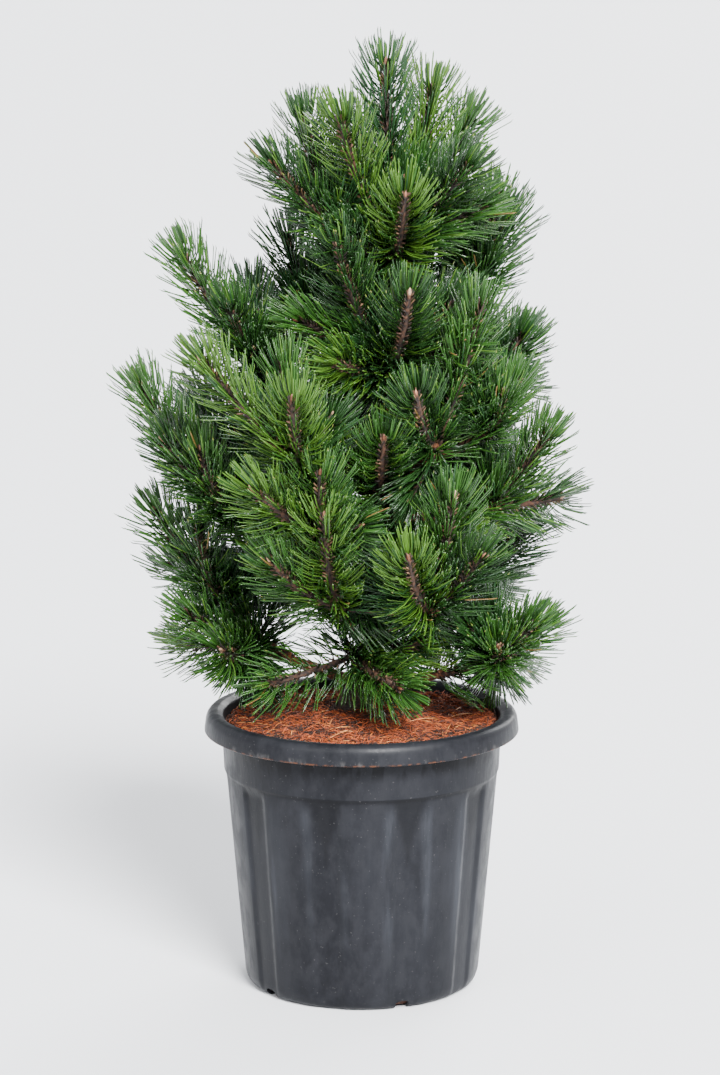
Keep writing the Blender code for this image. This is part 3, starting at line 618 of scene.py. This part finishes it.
# Boughs: bare lower lengths of the branches, in rings up the trunk, each swept up at its end.
# Their bark is thinner than the trunk's, orange-brown where the old needles have dropped.
# Name, what carries it, height or share there, turn, rise, length, bend, radius, bare share
BOUGHS = (
    ("low_left", "trunk", 0.03, 176, 17, 0.115, -14, 0.0065, 0.92),
    ("low_left_up", "low_left", 0.62, 173, 39, 0.088, 20, 0.0048, 0.6),
    ("low_right", "trunk", 0.034, 340, 13, 0.155, 20, 0.0065, 0.55),
    ("lower_front_left", "trunk", 0.079, 242, 36, 0.082, 16, 0.006, 0.6),
    ("lower_right", "trunk", 0.092, 317, 20, 0.088, 16, 0.006, 0.6),
    ("lower_back_left", "trunk", 0.098, 122, 12, 0.135, 16, 0.0062, 0.5),
    ("lower_back_right", "trunk", 0.085, 48, 10, 0.145, 16, 0.0062, 0.5),
    ("middle_far_left", "trunk", 0.16, 187, 21, 0.158, 24, 0.0062, 0.5),
    ("middle_front_left", "trunk", 0.182, 236, 15, 0.102, 16, 0.0052, 0.6),
    ("right_side", "trunk", 0.208, 355, 6, 0.12, 16, 0.0058, 0.5),
    ("middle_back_right", "trunk", 0.186, 62, 6, 0.125, 14, 0.0058, 0.5),
    ("middle_back_left", "trunk", 0.216, 146, 6, 0.14, 16, 0.0058, 0.5),
    ("middle_left", "trunk", 0.237, 230, 18, 0.119, 16, 0.0058, 0.55),
    ("middle_right", "trunk", 0.241, 320, 31, 0.092, 16, 0.006, 0.75),
    ("middle_right_end", "middle_right", 0.52, 358, 25, 0.088, 12, 0.0045, 0.65),
    ("middle_back", "trunk", 0.262, 96, 8, 0.105, 16, 0.0052, 0.55),
    ("upper_left", "trunk", 0.288, 173, 29, 0.142, 30, 0.0056, 0.5),
    ("back_right", "trunk", 0.296, 40, 11, 0.135, 16, 0.0054, 0.5),
    ("upper_back_left", "trunk", 0.369, 136, 19, 0.115, 16, 0.005, 0.55),
    ("upper_back_right", "trunk", 0.384, 34, 26, 0.13, 16, 0.005, 0.5),
    ("upper_back", "trunk", 0.402, 86, 14, 0.085, 16, 0.0045, 0.6),
    ("top_left", "trunk", 0.456, 204, 38, 0.078, 16, 0.0042, 0.6),
)
BOUGH_TIP_RADIUS = 0.004
BOUGH_THINNER = 0.88
BOUGH_SIDES = 24
BOUGH_PLATES = (0.0034, 0.0008, 2.0)  # size, depth and seed


def direction(turn, rise):
    """The unit vector at a turn round Z and a rise above level, both in degrees."""
    turn, rise = np.radians(turn), np.radians(rise)
    level = np.cos(rise)
    return np.stack([np.cos(turn) * level, np.sin(turn) * level, np.sin(rise)], axis=-1)


def limb_curve(start, turn, rise, length, bend, steps=48):
    """A limb's line: even steps, each along the turn, with the rise growing evenly by the bend."""
    rises = rise + bend * ((np.arange(steps) + 0.5) / steps - 0.5)
    steps_taken = direction(np.full(steps, float(turn)), rises) * length / steps
    return np.concatenate([[start], start + np.cumsum(steps_taken, axis=0)])


def at_share(points, share):
    """The points at these shares of a line of even steps."""
    place = np.asarray(share, float) * (len(points) - 1)
    steps = np.arange(len(points))
    return np.stack([np.interp(place, steps, points[:, k]) for k in range(3)], axis=-1)


bough_lines, bough_radii, bare_shares = {}, {}, {}
for name, carrier, place, turn, rise, length, bend, radius, bare in BOUGHS:
    start = trunk_centre(place)[0] if carrier == "trunk" else at_share(bough_lines[carrier], place)
    bough_lines[name] = limb_curve(start, turn, rise, length, bend)
    bough_radii[name] = np.array((radius * BOUGH_THINNER, BOUGH_TIP_RADIUS))
    bare_shares[name] = bare

paths, radii = [], []
for name, line in bough_lines.items():
    foot, tip = bough_radii[name]
    shares = np.linspace(0, bare_shares[name] + 0.04, 64)
    reach = shares * np.linalg.norm(line[-1] - line[0])
    collar = 0.0022 * np.exp(-np.maximum(reach - 0.011, 0) / 0.006)
    paths.append(at_share(line, shares))
    radii.append(foot + (tip - foot) * shares + collar)
bough_bark = bark_finish("bough_bark", (0.012, 0.0045, 0.0028), (0.085, 0.032, 0.014),
                         (0.21, 0.066, 0.019), (0.17, 0.105, 0.065), 380.0, 38.0)
bough_wood = tubes(paths, radii, BOUGH_SIDES, *BOUGH_PLATES)
wood_piece("bough_wood", bough_wood, [bough_bark], "bough_bark", ["bough_" + name for name in bough_lines])


# Shoots: the needled ends of the branches, each a few years' straight growth that ends in a bud.
# They are 5 to 6 mm thick, dark brown, and rough with the scales that the needles stand in.
def fan(turn, rise, length, spread=48):
    """A ring of shoots that nothing hides: a leader, one each side of it and one below."""
    return (
        (turn, rise, length),
        (turn - spread, rise + 6, 0.92 * length),
        (turn + spread, rise + 2, 0.88 * length),
        (turn + 8, rise - 38, 0.75 * length),
    )


# Name, bough or height on the trunk, then each shoot's turn, rise and length, and its bend where
# it sweeps up more than SHOOT_BEND
MASSES = (
    ("leader", 0.505, ((180, 87, 0.15),)),
    ("top_left", "top_left", ((185, 74, 0.114), (212, 43, 0.097), (103, 44, 0.082))),
    ("top_front_left", 0.476, ((235, 60, 0.151),)),
    ("top_front", 0.468, ((279, 44, 0.097, 45), (224, 20, 0.08))),
    ("top_right", 0.484, ((320, 43, 0.113), (0, 24, 0.09))),
    ("top_back_right", 0.492, ((42, 74, 0.147), (34, 52, 0.136))),
    ("top_back", 0.474, ((108, 56, 0.142), (75, 36, 0.134), (150, 34, 0.105))),
    ("upper_front_left", 0.373, ((238, 57, 0.135, 20), (200, 22, 0.09))),
    ("upper_front", 0.35, ((285, 48, 0.122, 45), (230, 13, 0.081))),
    ("upper_right", 0.362, ((351, 47, 0.085), (312, 17, 0.096))),
    ("upper_back_right", "upper_back_right", ((46, 57, 0.081), (330, 78, 0.092), (103, 44, 0.085))),
    ("upper_left", "upper_left", ((177, 57, 0.142), (239, 52, 0.088), (99, 55, 0.095))),
    ("upper_back_left", "upper_back_left", ((136, 69, 0.085), (60, 34, 0.075), (131, 8, 0.075))),
    ("upper_back", "upper_back", fan(82, 42, 0.115)),
    ("middle_left", "middle_left", ((202, 47, 0.154), (260, 56, 0.091, 45), (142, 76, 0.103))),
    ("middle_far_left", "middle_far_left", ((164, 53, 0.157), (208, 47, 0.107), (241, 53, 0.092, 45))),
    ("middle_front_left", "middle_front_left", ((220, 32, 0.097, 20), (273, 57, 0.078, 45))),
    ("middle_front", 0.222, ((275, 43, 0.11, 45), (232, 42, 0.082))),
    ("middle_right", "middle_right", ((329, 71, 0.155), (246, 49, 0.081, 45))),
    ("middle_right_end", "middle_right_end", ((20, 57, 0.06), (297, 52, 0.057, 30))),
    ("right_side", "right_side", ((332, 52, 0.101), (27, 3, 0.08), (73, 27, 0.085))),
    ("back_right", "back_right", fan(32, 46, 0.085)),
    ("middle_back", "middle_back", fan(96, 44, 0.125)),
    ("middle_back_left", "middle_back_left", fan(146, 42, 0.12)),
    ("middle_back_right", "middle_back_right", fan(56, 38, 0.105)),
    ("lower_front_left", "lower_front_left", ((222, 33, 0.107, 30), (260, 55, 0.131, 45))),
    ("lower_right", "lower_right", ((296, 68, 0.134), (318, 43, 0.092), (252, 41, 0.103, 45))),
    ("lower_back_left", "lower_back_left", fan(124, 36, 0.115)),
    ("lower_back_right", "lower_back_right", fan(48, 36, 0.11)),
    ("low_left", "low_left", ((218, 31, 0.096), (158, 2, 0.08), (248, 12, 0.077, 30))),
    ("low_left_up", "low_left_up", ((184, 54, 0.124), (244, 56, 0.113, 45), (134, 19, 0.095))),
    ("low_right", "low_right", ((268, 27, 0.043, 45), (3, 35, 0.06), (69, -4, 0.09), (319, 43, 0.06))),
    ("inner_right", 0.14, ((342, 26, 0.1), (18, 40, 0.085))),
    ("inner_left", 0.128, ((196, 26, 0.105), (160, 44, 0.085))),
    ("low_front", 0.055, ((225, -5, 0.12), (300, -8, 0.098), (333, 15, 0.085))),
)
SHOOT_BEND = 8.0
SHOOT_RADIUS = 0.0033
SHOOT_TIP_RADIUS = 0.0025
SHOOT_STEP = 0.0026
SHOOT_SIDES = 8
SHOOT_PLATES = (0.0022, 0.0012, 5.0)
STEM_LENGTH = 0.01
KNOT_LENGTH = 0.011
TWIGS_AT_KNOT = 5
DROOPING_FULLNESS = 0.4  # share of the needles on the shaded first shoot of low_front
TWIG_LENGTHS = (0.03, 0.065)
SHOOT_SEED = 11

shoots = []  # each: its mass, line, radii, length, whether it is a side twig, and how full it is


def add_shoot(mass, line, foot_radius, tip_radius=SHOOT_TIP_RADIUS, twig=False, fullness=1.0):
    long = np.linalg.norm(np.diff(line, axis=0), axis=1).sum()
    away = np.linspace(0, long, len(line))
    main = SHOOT_RADIUS + (tip_radius - SHOOT_RADIUS) * away / long
    knot = 0.0007 * np.exp(-(((away - 0.006) / 0.005) ** 2))
    radius = main + (foot_radius - SHOOT_RADIUS) * np.exp(-away / 0.02) + knot
    shoots.append(dict(mass=mass, line=line, radius=radius, length=long, twig=twig, fullness=fullness))


rng = np.random.default_rng(SHOOT_SEED)
for mass, place, sizes in MASSES:
    turn = sizes[0][0]
    if isinstance(place, str):
        shares = np.linspace(bare_shares[place], 1.0, 24)
        stem, foot_radius = at_share(bough_lines[place], shares), BOUGH_TIP_RADIUS + 0.0004
    elif place >= TRUNK_HEIGHT:
        start = trunk_centre(place)[0]
        stem, foot_radius = start + np.linspace(0, STEM_LENGTH, 6)[:, None] * (0, 0, 1), TRUNK_TIP_RADIUS
    else:
        reach = trunk_radius(place) + STEM_LENGTH
        stem, foot_radius = limb_curve(trunk_centre(place)[0], turn, 25, reach, 0, 6), 0.0034
    knot = stem[-1]
    lines = [limb_curve(knot, *(*size, SHOOT_BEND)[:4], 40) for size in sizes]
    fullness = DROOPING_FULLNESS if mass == "low_front" else 1.0
    add_shoot(mass, np.concatenate([stem, lines[0][1:]]), foot_radius, fullness=fullness)
    for line in lines[1:]:
        add_shoot(mass, line, SHOOT_RADIUS)
    mean = np.mean([direction(*size[:2]) for size in sizes], axis=0)
    outward = unit(knot - trunk_centre(knot[2] - TRUNK_FOOT)[0])
    for _ in range(TWIGS_AT_KNOT):
        way = mean + 0.75 * rng.normal(size=3)
        way = unit(way - outward * max(way @ outward, 0) * 1.2)
        turn, rise = math.degrees(math.atan2(way[1], way[0])), math.degrees(math.asin(way[2]))
        line = limb_curve(knot, turn, rise, rng.uniform(*TWIG_LENGTHS), 14, 14)
        low = (line[:, 2] < MEDIUM_TOP + 0.02) & (np.hypot(line[:, 0], line[:, 1]) < RIM_RADIUS + 0.02)
        if not low.any():
            add_shoot(mass, line, SHOOT_RADIUS * 0.8, SHOOT_TIP_RADIUS * 0.75, twig=True)


def even(shoot, spacing):
    """The shoot's line and radius again, at an even spacing."""
    count = max(6, int(shoot["length"] / spacing))
    along = np.concatenate([[0], np.cumsum(np.linalg.norm(np.diff(shoot["line"], axis=0), axis=1))])
    wanted = np.linspace(0, along[-1], count)
    line = np.stack([np.interp(wanted, along, shoot["line"][:, k]) for k in range(3)], axis=-1)
    return line, np.interp(wanted, along, shoot["radius"])


paths, radii = zip(*[even(shoot, SHOOT_STEP) for shoot in shoots])
shoot_bark = bark_finish("shoot_bark", (0.003, 0.0016, 0.001), (0.019, 0.0078, 0.0036),
                         (0.052, 0.018, 0.0062), (0.085, 0.047, 0.024), 520.0, 30.0)
shoot_wood = tubes(paths, radii, SHOOT_SIDES, *SHOOT_PLATES)
# The foot of each shoot, where it leaves its knot, keeps the orange-brown bark of the bough
old_bark = [np.repeat(np.arange(len(path) - 1) < KNOT_LENGTH / SHOOT_STEP, SHOOT_SIDES) for path in paths]
worn = np.concatenate(old_bark + [np.zeros(2 * SHOOT_SIDES * len(paths), bool)])
wood_piece("shoot_wood", shoot_wood, [shoot_bark, bough_bark], "bough_bark", worn=worn)


# Needles: stiff, in pairs from a short dark sheath, in a close spiral round every shoot. They
# stand well out low down and lean forward near the bud. A few years' needles are all still green.
NEEDLE_LENGTH = 0.053
NEEDLE_WIDTH = 0.0017
PAIR_SPACING = 0.00078
PAIR_TURN = 137.508
ANGLE_FOOT = 50.0
ANGLE_TIP = 37.0
ANGLE_BUD = 22.0
FORWARD_BEND = 44.0
PARTING = 32.0
BUD_PAIRS = 8
TIP_SHARE = 0.03
STRAW_SHARE = 0.002
SHEATH_LENGTHS = (0.006, 0.0085)
SHEATH_WIDTHS = (0.0062, 0.008)
NEEDLE_SEED = 23
# The fresh tint stands partly for new growth and partly as painted light on the lit needles; the deep tint
# serves partly as painted shade
NEEDLE_TINTS = {
    "needle_deep": (0.0098, 0.0325, 0.0066),
    "needle_green": (0.0205, 0.064, 0.0092),
    "needle_fresh_and_lit": (0.046, 0.106, 0.012),
    "needle_blue": (0.0125, 0.043, 0.0125),
    "needle_tip": (0.105, 0.13, 0.022),
    "needle_straw": (0.13, 0.08, 0.022),
}
TIP, STRAW = 4, 5
# Shares of the first four tints in front, behind and on the side twigs. They paint light and shade: more
# fresh needles in front, and more deep and blue ones behind and on the inner twigs, which stand as shaded
# filler
LIT_FRONT_SHARES = (0.22, 0.46, 0.24, 0.08)
SHADED_BACK_SHARES = (0.42, 0.3, 0.06, 0.22)
SHADED_TWIG_SHARES = (0.72, 0.12, 0.0, 0.16)
SPRAY_SHARE = 0.62  # needles that keep the one tint dealt to their spray
TIERS = {
    "top": ("leader", "top_"),
    "upper": ("upper_", "back_right"),
    "middle_front": ("middle_left", "middle_far_left", "middle_front", "middle_right", "right_side"),
    "middle_back": ("middle_back",),
    "lower": ("lower_", "inner_"),
    "low": ("low_",),
}


def spiral(shoot, rng):
    """Roots, axes and leaving angles of the needle pairs round one shoot.

    Pair k stands at turn k * 137.5 degrees, pushed apart on the side that faces out of the crown,
    where the bare stem shows. Its angle to the shoot falls evenly from the foot to the tip, and
    the last pairs crowd round the bud.
    """
    count = max(10, int(shoot["length"] / PAIR_SPACING * shoot["fullness"]))
    share = (np.arange(count) + rng.uniform(0, 1, count)) / count
    close = np.full(BUD_PAIRS, 1.0) - rng.uniform(0, 0.05, BUD_PAIRS)
    share = np.concatenate([share, close])
    line, radius = even(shoot, 0.002)
    roots = at_share(line, share)
    tangents = unit(at_share(np.gradient(line, axis=0), share))
    outward = (roots - trunk_centre(roots[:, 2] - TRUNK_FOOT)) * (1, 1, 0) - (0, 1e-6, 0)
    facing = outward - tangents * (outward * tangents).sum(axis=1)[:, None]
    open_side = ease(0.01, 0.04, np.linalg.norm(facing, axis=1))
    facing = unit(facing)
    turn = (np.arange(len(share)) * PAIR_TURN + rng.normal(0, 10, len(share))) % 360 - 180
    turn += np.sign(turn) * PARTING * open_side * (1 - np.abs(turn) / 180)
    turn = np.radians(turn)[:, None]
    out = np.cos(turn) * facing + np.sin(turn) * np.cross(tangents, facing)
    angle = ANGLE_FOOT + (ANGLE_TIP - ANGLE_FOOT) * share + rng.normal(0, 6.5, len(share))
    crowd = ease(0, 1, (share * shoot["length"] - shoot["length"] + 0.018) / 0.018)
    angle = angle + (ANGLE_BUD + rng.uniform(-10, 9, len(share)) - angle) * crowd
    at = np.interp(share, np.linspace(0, 1, len(radius)), radius)
    roots = roots + out * at[:, None] * 0.85
    length = NEEDLE_LENGTH * rng.uniform(0.84, 1.06, len(share))
    length *= 1 - rng.uniform(0.2, 0.46, len(share)) * crowd
    length *= 0.72 + 0.28 * min(shoot["length"] / 0.08, 1.0)
    return roots, tangents, out, angle, length


def leaning(tangents, out, side, angle, swing):
    """Unit vectors that leave the shoot at an angle, swung a little to one side."""
    angle, swing = np.radians(angle)[:, None], np.radians(swing)[:, None]
    outward = np.cos(swing) * out + np.sin(swing) * side
    return np.cos(angle) * tangents + np.sin(angle) * outward


def needle_points(roots, tangents, out, angle, bend, swing, length, width):
    """Ten points for each needle: three triangular rings along a gently bent line, and its tip.

    The line takes three straight steps, each leaning a little more along the shoot, and a ring is
    flat towards the shoot and ridged away from it.
    """
    side = np.cross(tangents, out)
    steps = (0.42, 0.5, 0.08)
    shares = (0.0, 0.42, 0.92)
    line, ways = [roots], []
    for step, share in zip(steps, shares):
        way = leaning(tangents, out, side, angle - bend * (share + step / 2 - 0.5), swing)
        ways.append(way)
        line.append(line[-1] + way * (length * step)[:, None])
    points = []
    for centre, way, wide in zip(line[:3], ways, (0.6, 1.0, 0.85)):
        across = unit(np.cross(way, out))
        ridge = np.cross(across, way)
        half = (width * wide / 2)[:, None]
        points += [centre + half * across, centre - half * across, centre + half * 1.15 * ridge]
    points.append(line[3])
    return np.stack(points, axis=1)


NEEDLE_SIDES = ring_quads(3, 3)
NEEDLE_ENDS = np.array([(6, 7, 9), (7, 8, 9), (8, 6, 9), (2, 1, 0)])


def clear_of_wood(points):
    """False for a needle that runs into the trunk, a bare bough, the pot or the growing medium."""
    heights_up = np.linspace(0, TRUNK_HEIGHT, 100)
    wood = [trunk_centre(heights_up)]
    girths = [trunk_radius(heights_up) + FLARE * np.exp(-heights_up / FLARE_HEIGHT)]
    for name, line in bough_lines.items():
        shares = np.linspace(0, bare_shares[name], 16)
        wood.append(at_share(line, shares))
        girths.append(np.full(16, bough_radii[name][0]))
    wood, girths = np.concatenate(wood), np.concatenate(girths)
    kept = np.ones(len(points), bool)
    for probe in (5, 8, 9):
        place = points[:, probe]
        for begin in range(0, len(place), 4000):
            part = slice(begin, begin + 4000)
            gaps = np.linalg.norm(place[part, None] - wood[None], axis=2) - girths
            kept[part] &= gaps.min(axis=1) > 0.0008
        radius = np.hypot(place[:, 0], place[:, 1])
        in_mouth = (radius < COLLAR_RADIUS - 0.004) & (place[:, 2] > MEDIUM_TOP + 0.001)
        kept &= (place[:, 2] > POT_HEIGHT + 0.0015) | in_mouth | (radius > RIM_RADIUS + 0.002)
    return kept


needle_finishes = []
for name, colour in NEEDLE_TINTS.items():
    made, _, shader = finish(name, 0.25)
    shader.inputs["Base Color"].default_value = (*colour, 1.0)
    shader.inputs["Specular IOR Level"].default_value = 0.38
    needle_finishes.append(made)

rng = np.random.default_rng(NEEDLE_SEED)
sheath_roots, sheath_ways = [], []
for tier, prefixes in TIERS.items():
    points, body_tints, tip_tints = [], [], []
    for shoot in shoots:
        if not shoot["mass"].startswith(prefixes):
            continue
        roots, tangents, out, angle, length = spiral(shoot, rng)
        # Painted light and shade: shoots at the back and side twigs take darker tints than those in front
        weights = SHADED_BACK_SHARES if shoot["line"][-1][1] > 0.05 else LIT_FRONT_SHARES
        if shoot["twig"]:
            weights = SHADED_TWIG_SHARES
        spray = rng.choice(4, p=weights)
        for hand in (-1, 1):
            spread = hand * rng.uniform(1.0, 6.5, len(roots))
            lean = angle + hand * rng.uniform(-3.5, 3.5, len(roots))
            width = NEEDLE_WIDTH * rng.uniform(0.85, 1.1, len(roots))
            bend = FORWARD_BEND * rng.uniform(0.6, 1.35, len(roots))
            long = length * rng.uniform(0.94, 1.03, len(roots))
            made = needle_points(roots, tangents, out, lean, bend, spread, long, width)
            kept = clear_of_wood(made)
            own = rng.random(len(roots)) < SPRAY_SHARE
            body = np.where(own, spray, rng.choice(4, len(roots), p=weights))
            body = np.where(rng.random(len(roots)) < STRAW_SHARE, STRAW, body)
            tip = np.where((rng.random(len(roots)) < TIP_SHARE) & (body != STRAW), TIP, body)
            points.append(made[kept])
            body_tints.append(body[kept])
            tip_tints.append(tip[kept])
            if hand == 1 and not shoot["twig"]:
                sheath_roots.append(roots[kept])
                sheath_ways.append(leaning(tangents, out, np.cross(tangents, out), angle, spread * 0)[kept])
    points, body, tip = np.concatenate(points), np.concatenate(body_tints), np.concatenate(tip_tints)
    starts = np.arange(len(points))[:, None, None] * 10
    quads, ends = (NEEDLE_SIDES + starts).reshape(-1, 4), (NEEDLE_ENDS + starts).reshape(-1, 3)
    worn_ends = np.stack([tip, tip, tip, body], axis=1).ravel()
    nodes = ["needles_" + mass for mass, _, _ in MASSES if mass.startswith(prefixes)]
    new_piece("pine_needles_" + tier, points.reshape(-1, 3), [quads, ends], needle_finishes,
              np.concatenate([np.repeat(body, 6), worn_ends]), "pine_needles", nodes)

roots, ways = np.concatenate(sheath_roots), np.concatenate(sheath_ways)
count = len(roots)
lengths, widths = rng.uniform(*SHEATH_LENGTHS, count), rng.uniform(*SHEATH_WIDTHS, count)
vertices, quads, caps = strands(roots - ways * 0.001, ways, lengths, widths, np.zeros(count), 3, 2)
tints = rng.choice(3, count, p=(0.42, 0.38, 0.2))
new_piece("needle_sheaths", vertices, [quads, caps],
          plain_finishes(("sheath_dark", (0.011, 0.005, 0.0026), 0.85),
                         ("sheath_brown", (0.04, 0.0155, 0.006), 0.85),
                         ("sheath_pale", (0.11, 0.056, 0.025), 0.8)),
          dealt(tints, 3), "pine_needles")


# Buds: one at the tip of every shoot, 6 to 9 mm long, with one to three smaller ones round it,
# their scales sealed with pale resin, cream to pink.
BUD_SEED = 31
BUD_PROFILE = np.array(((0.0, 0.55), (0.15, 0.98), (0.42, 0.92), (0.46, 0.98), (0.64, 0.74),
                        (0.68, 0.78), (0.88, 0.38), (1.0, 0.05)))
BUD_SIDES = 7
BUD_LENGTHS = (0.0065, 0.009)


def bud_points(roots, ways, lengths, radii):
    """A turned spindle with stepped rings of scales, along each bud's way."""
    helper = np.where(np.abs(ways[:, 2:]) > 0.8, (1.0, 0, 0), (0, 0, 1.0))
    out = rings(ways, helper, BUD_SIDES)
    line = roots[:, None] + ways[:, None] * (lengths[:, None] * BUD_PROFILE[:, 0])[..., None]
    girth = radii[:, None] * BUD_PROFILE[:, 1]
    return line[:, :, None] + girth[..., None, None] * out[:, None]


rng = np.random.default_rng(BUD_SEED)
grown = []  # each: its root, way, length and radius
for shoot in shoots:
    line = shoot["line"]
    way = unit(line[-1] - line[-2])
    size = rng.uniform(*BUD_LENGTHS) * (0.7 if shoot["twig"] else 1.0)
    grown.append((line[-1] - way * 0.001, way, size, size * 0.27))
    for _ in range(rng.integers(1, 4)):
        lean = unit(way + 0.55 * rng.normal(size=3))
        if lean @ way > 0.5:
            grown.append((line[-1] - way * 0.0025, lean, size * 0.62, size * 0.15))
buds = bud_points(*map(np.array, zip(*grown)))
rows = len(BUD_PROFILE)
starts = np.arange(len(buds))[:, None, None] * rows * BUD_SIDES
quads = (ring_quads(rows, BUD_SIDES) + starts).reshape(-1, 4)
caps = np.stack([np.arange(BUD_SIDES)[::-1], np.arange((rows - 1) * BUD_SIDES, rows * BUD_SIDES)])
caps = (caps + starts).reshape(-1, BUD_SIDES)
tints = rng.choice(3, len(buds), p=(0.5, 0.35, 0.15))
new_piece("buds", buds.reshape(-1, 3), [quads, caps],
          plain_finishes(("bud_cream", (0.36, 0.22, 0.13), 0.5),
                         ("bud_pink", (0.26, 0.11, 0.06), 0.5),
                         ("bud_brown", (0.12, 0.04, 0.018), 0.55)),
          dealt(tints, (rows - 1) * BUD_SIDES), "pine_needles")


# Studio: a wide plain pale floor, soft light from all round, broad daylight from the front right
# and less of it from behind, a weak lamp on the left, and the camera where the photograph was taken
# from, about 3.2 m in front and 1.06 m up, through a long lens.
FLOOR_HALF_SIZE = 80.0
CAMERA_PLACE = (-0.0016, -3.2, 1.057)
CAMERA_PITCH = 79.5
CAMERA_LENS = 3200 / 1075 * 36

corners = [(x * FLOOR_HALF_SIZE, y * FLOOR_HALF_SIZE, 0.0) for x, y in ((-1, -1), (1, -1), (1, 1), (-1, 1))]
floor_mesh = bpy.data.meshes.new("floor")
floor_mesh.from_pydata(corners, [], [(0, 1, 2, 3)])
floor = bpy.data.objects.new("floor", floor_mesh)
bpy.context.scene.collection.objects.link(floor)
floor_finish, _, floor_shader = finish("pale_floor", 0.6)
floor_shader.inputs["Base Color"].default_value = (0.57, 0.58, 0.6, 1)
floor_shader.inputs["Specular IOR Level"].default_value = 0.2
floor_mesh.materials.append(floor_finish)

world = bpy.data.worlds.new("studio")
world.use_nodes = True
background = world.node_tree.nodes["Background"].inputs
background["Color"].default_value = (0.95, 0.97, 1.0, 1)
background["Strength"].default_value = 1.6
bpy.context.scene.world = world

# Name, kind, place, size in metres or spread in degrees, power
LAMPS = (
    ("key", "SUN", (0.9, -2.4, 2.6), 24.0, 18.0),
    ("back", "SUN", (1.3, 2.4, 2.0), 40.0, 5.0),
    ("fill", "AREA", (-1.9, -2.3, 1.7), 1.4, 60.0),
)
LAMP_TARGET = (0.0, 0.0, 0.5)
for name, kind, place, size, power in LAMPS:
    lamp = bpy.data.lights.new(name, kind)
    lamp.energy = power
    if kind == "SUN":
        lamp.angle = math.radians(size)
    else:
        lamp.shape, lamp.size = "DISK", size
    lamp_object = bpy.data.objects.new(name, lamp)
    lamp_object.location = place
    aim = Vector(LAMP_TARGET) - Vector(place)
    lamp_object.rotation_euler = aim.to_track_quat("-Z", "Y").to_euler()
    bpy.context.scene.collection.objects.link(lamp_object)

camera = bpy.data.objects.new("camera", bpy.data.cameras.new("camera"))
camera.data.lens = CAMERA_LENS
camera.location = CAMERA_PLACE
camera.rotation_euler = (math.radians(CAMERA_PITCH), 0, 0)
bpy.context.scene.collection.objects.link(camera)
bpy.context.scene.camera = camera
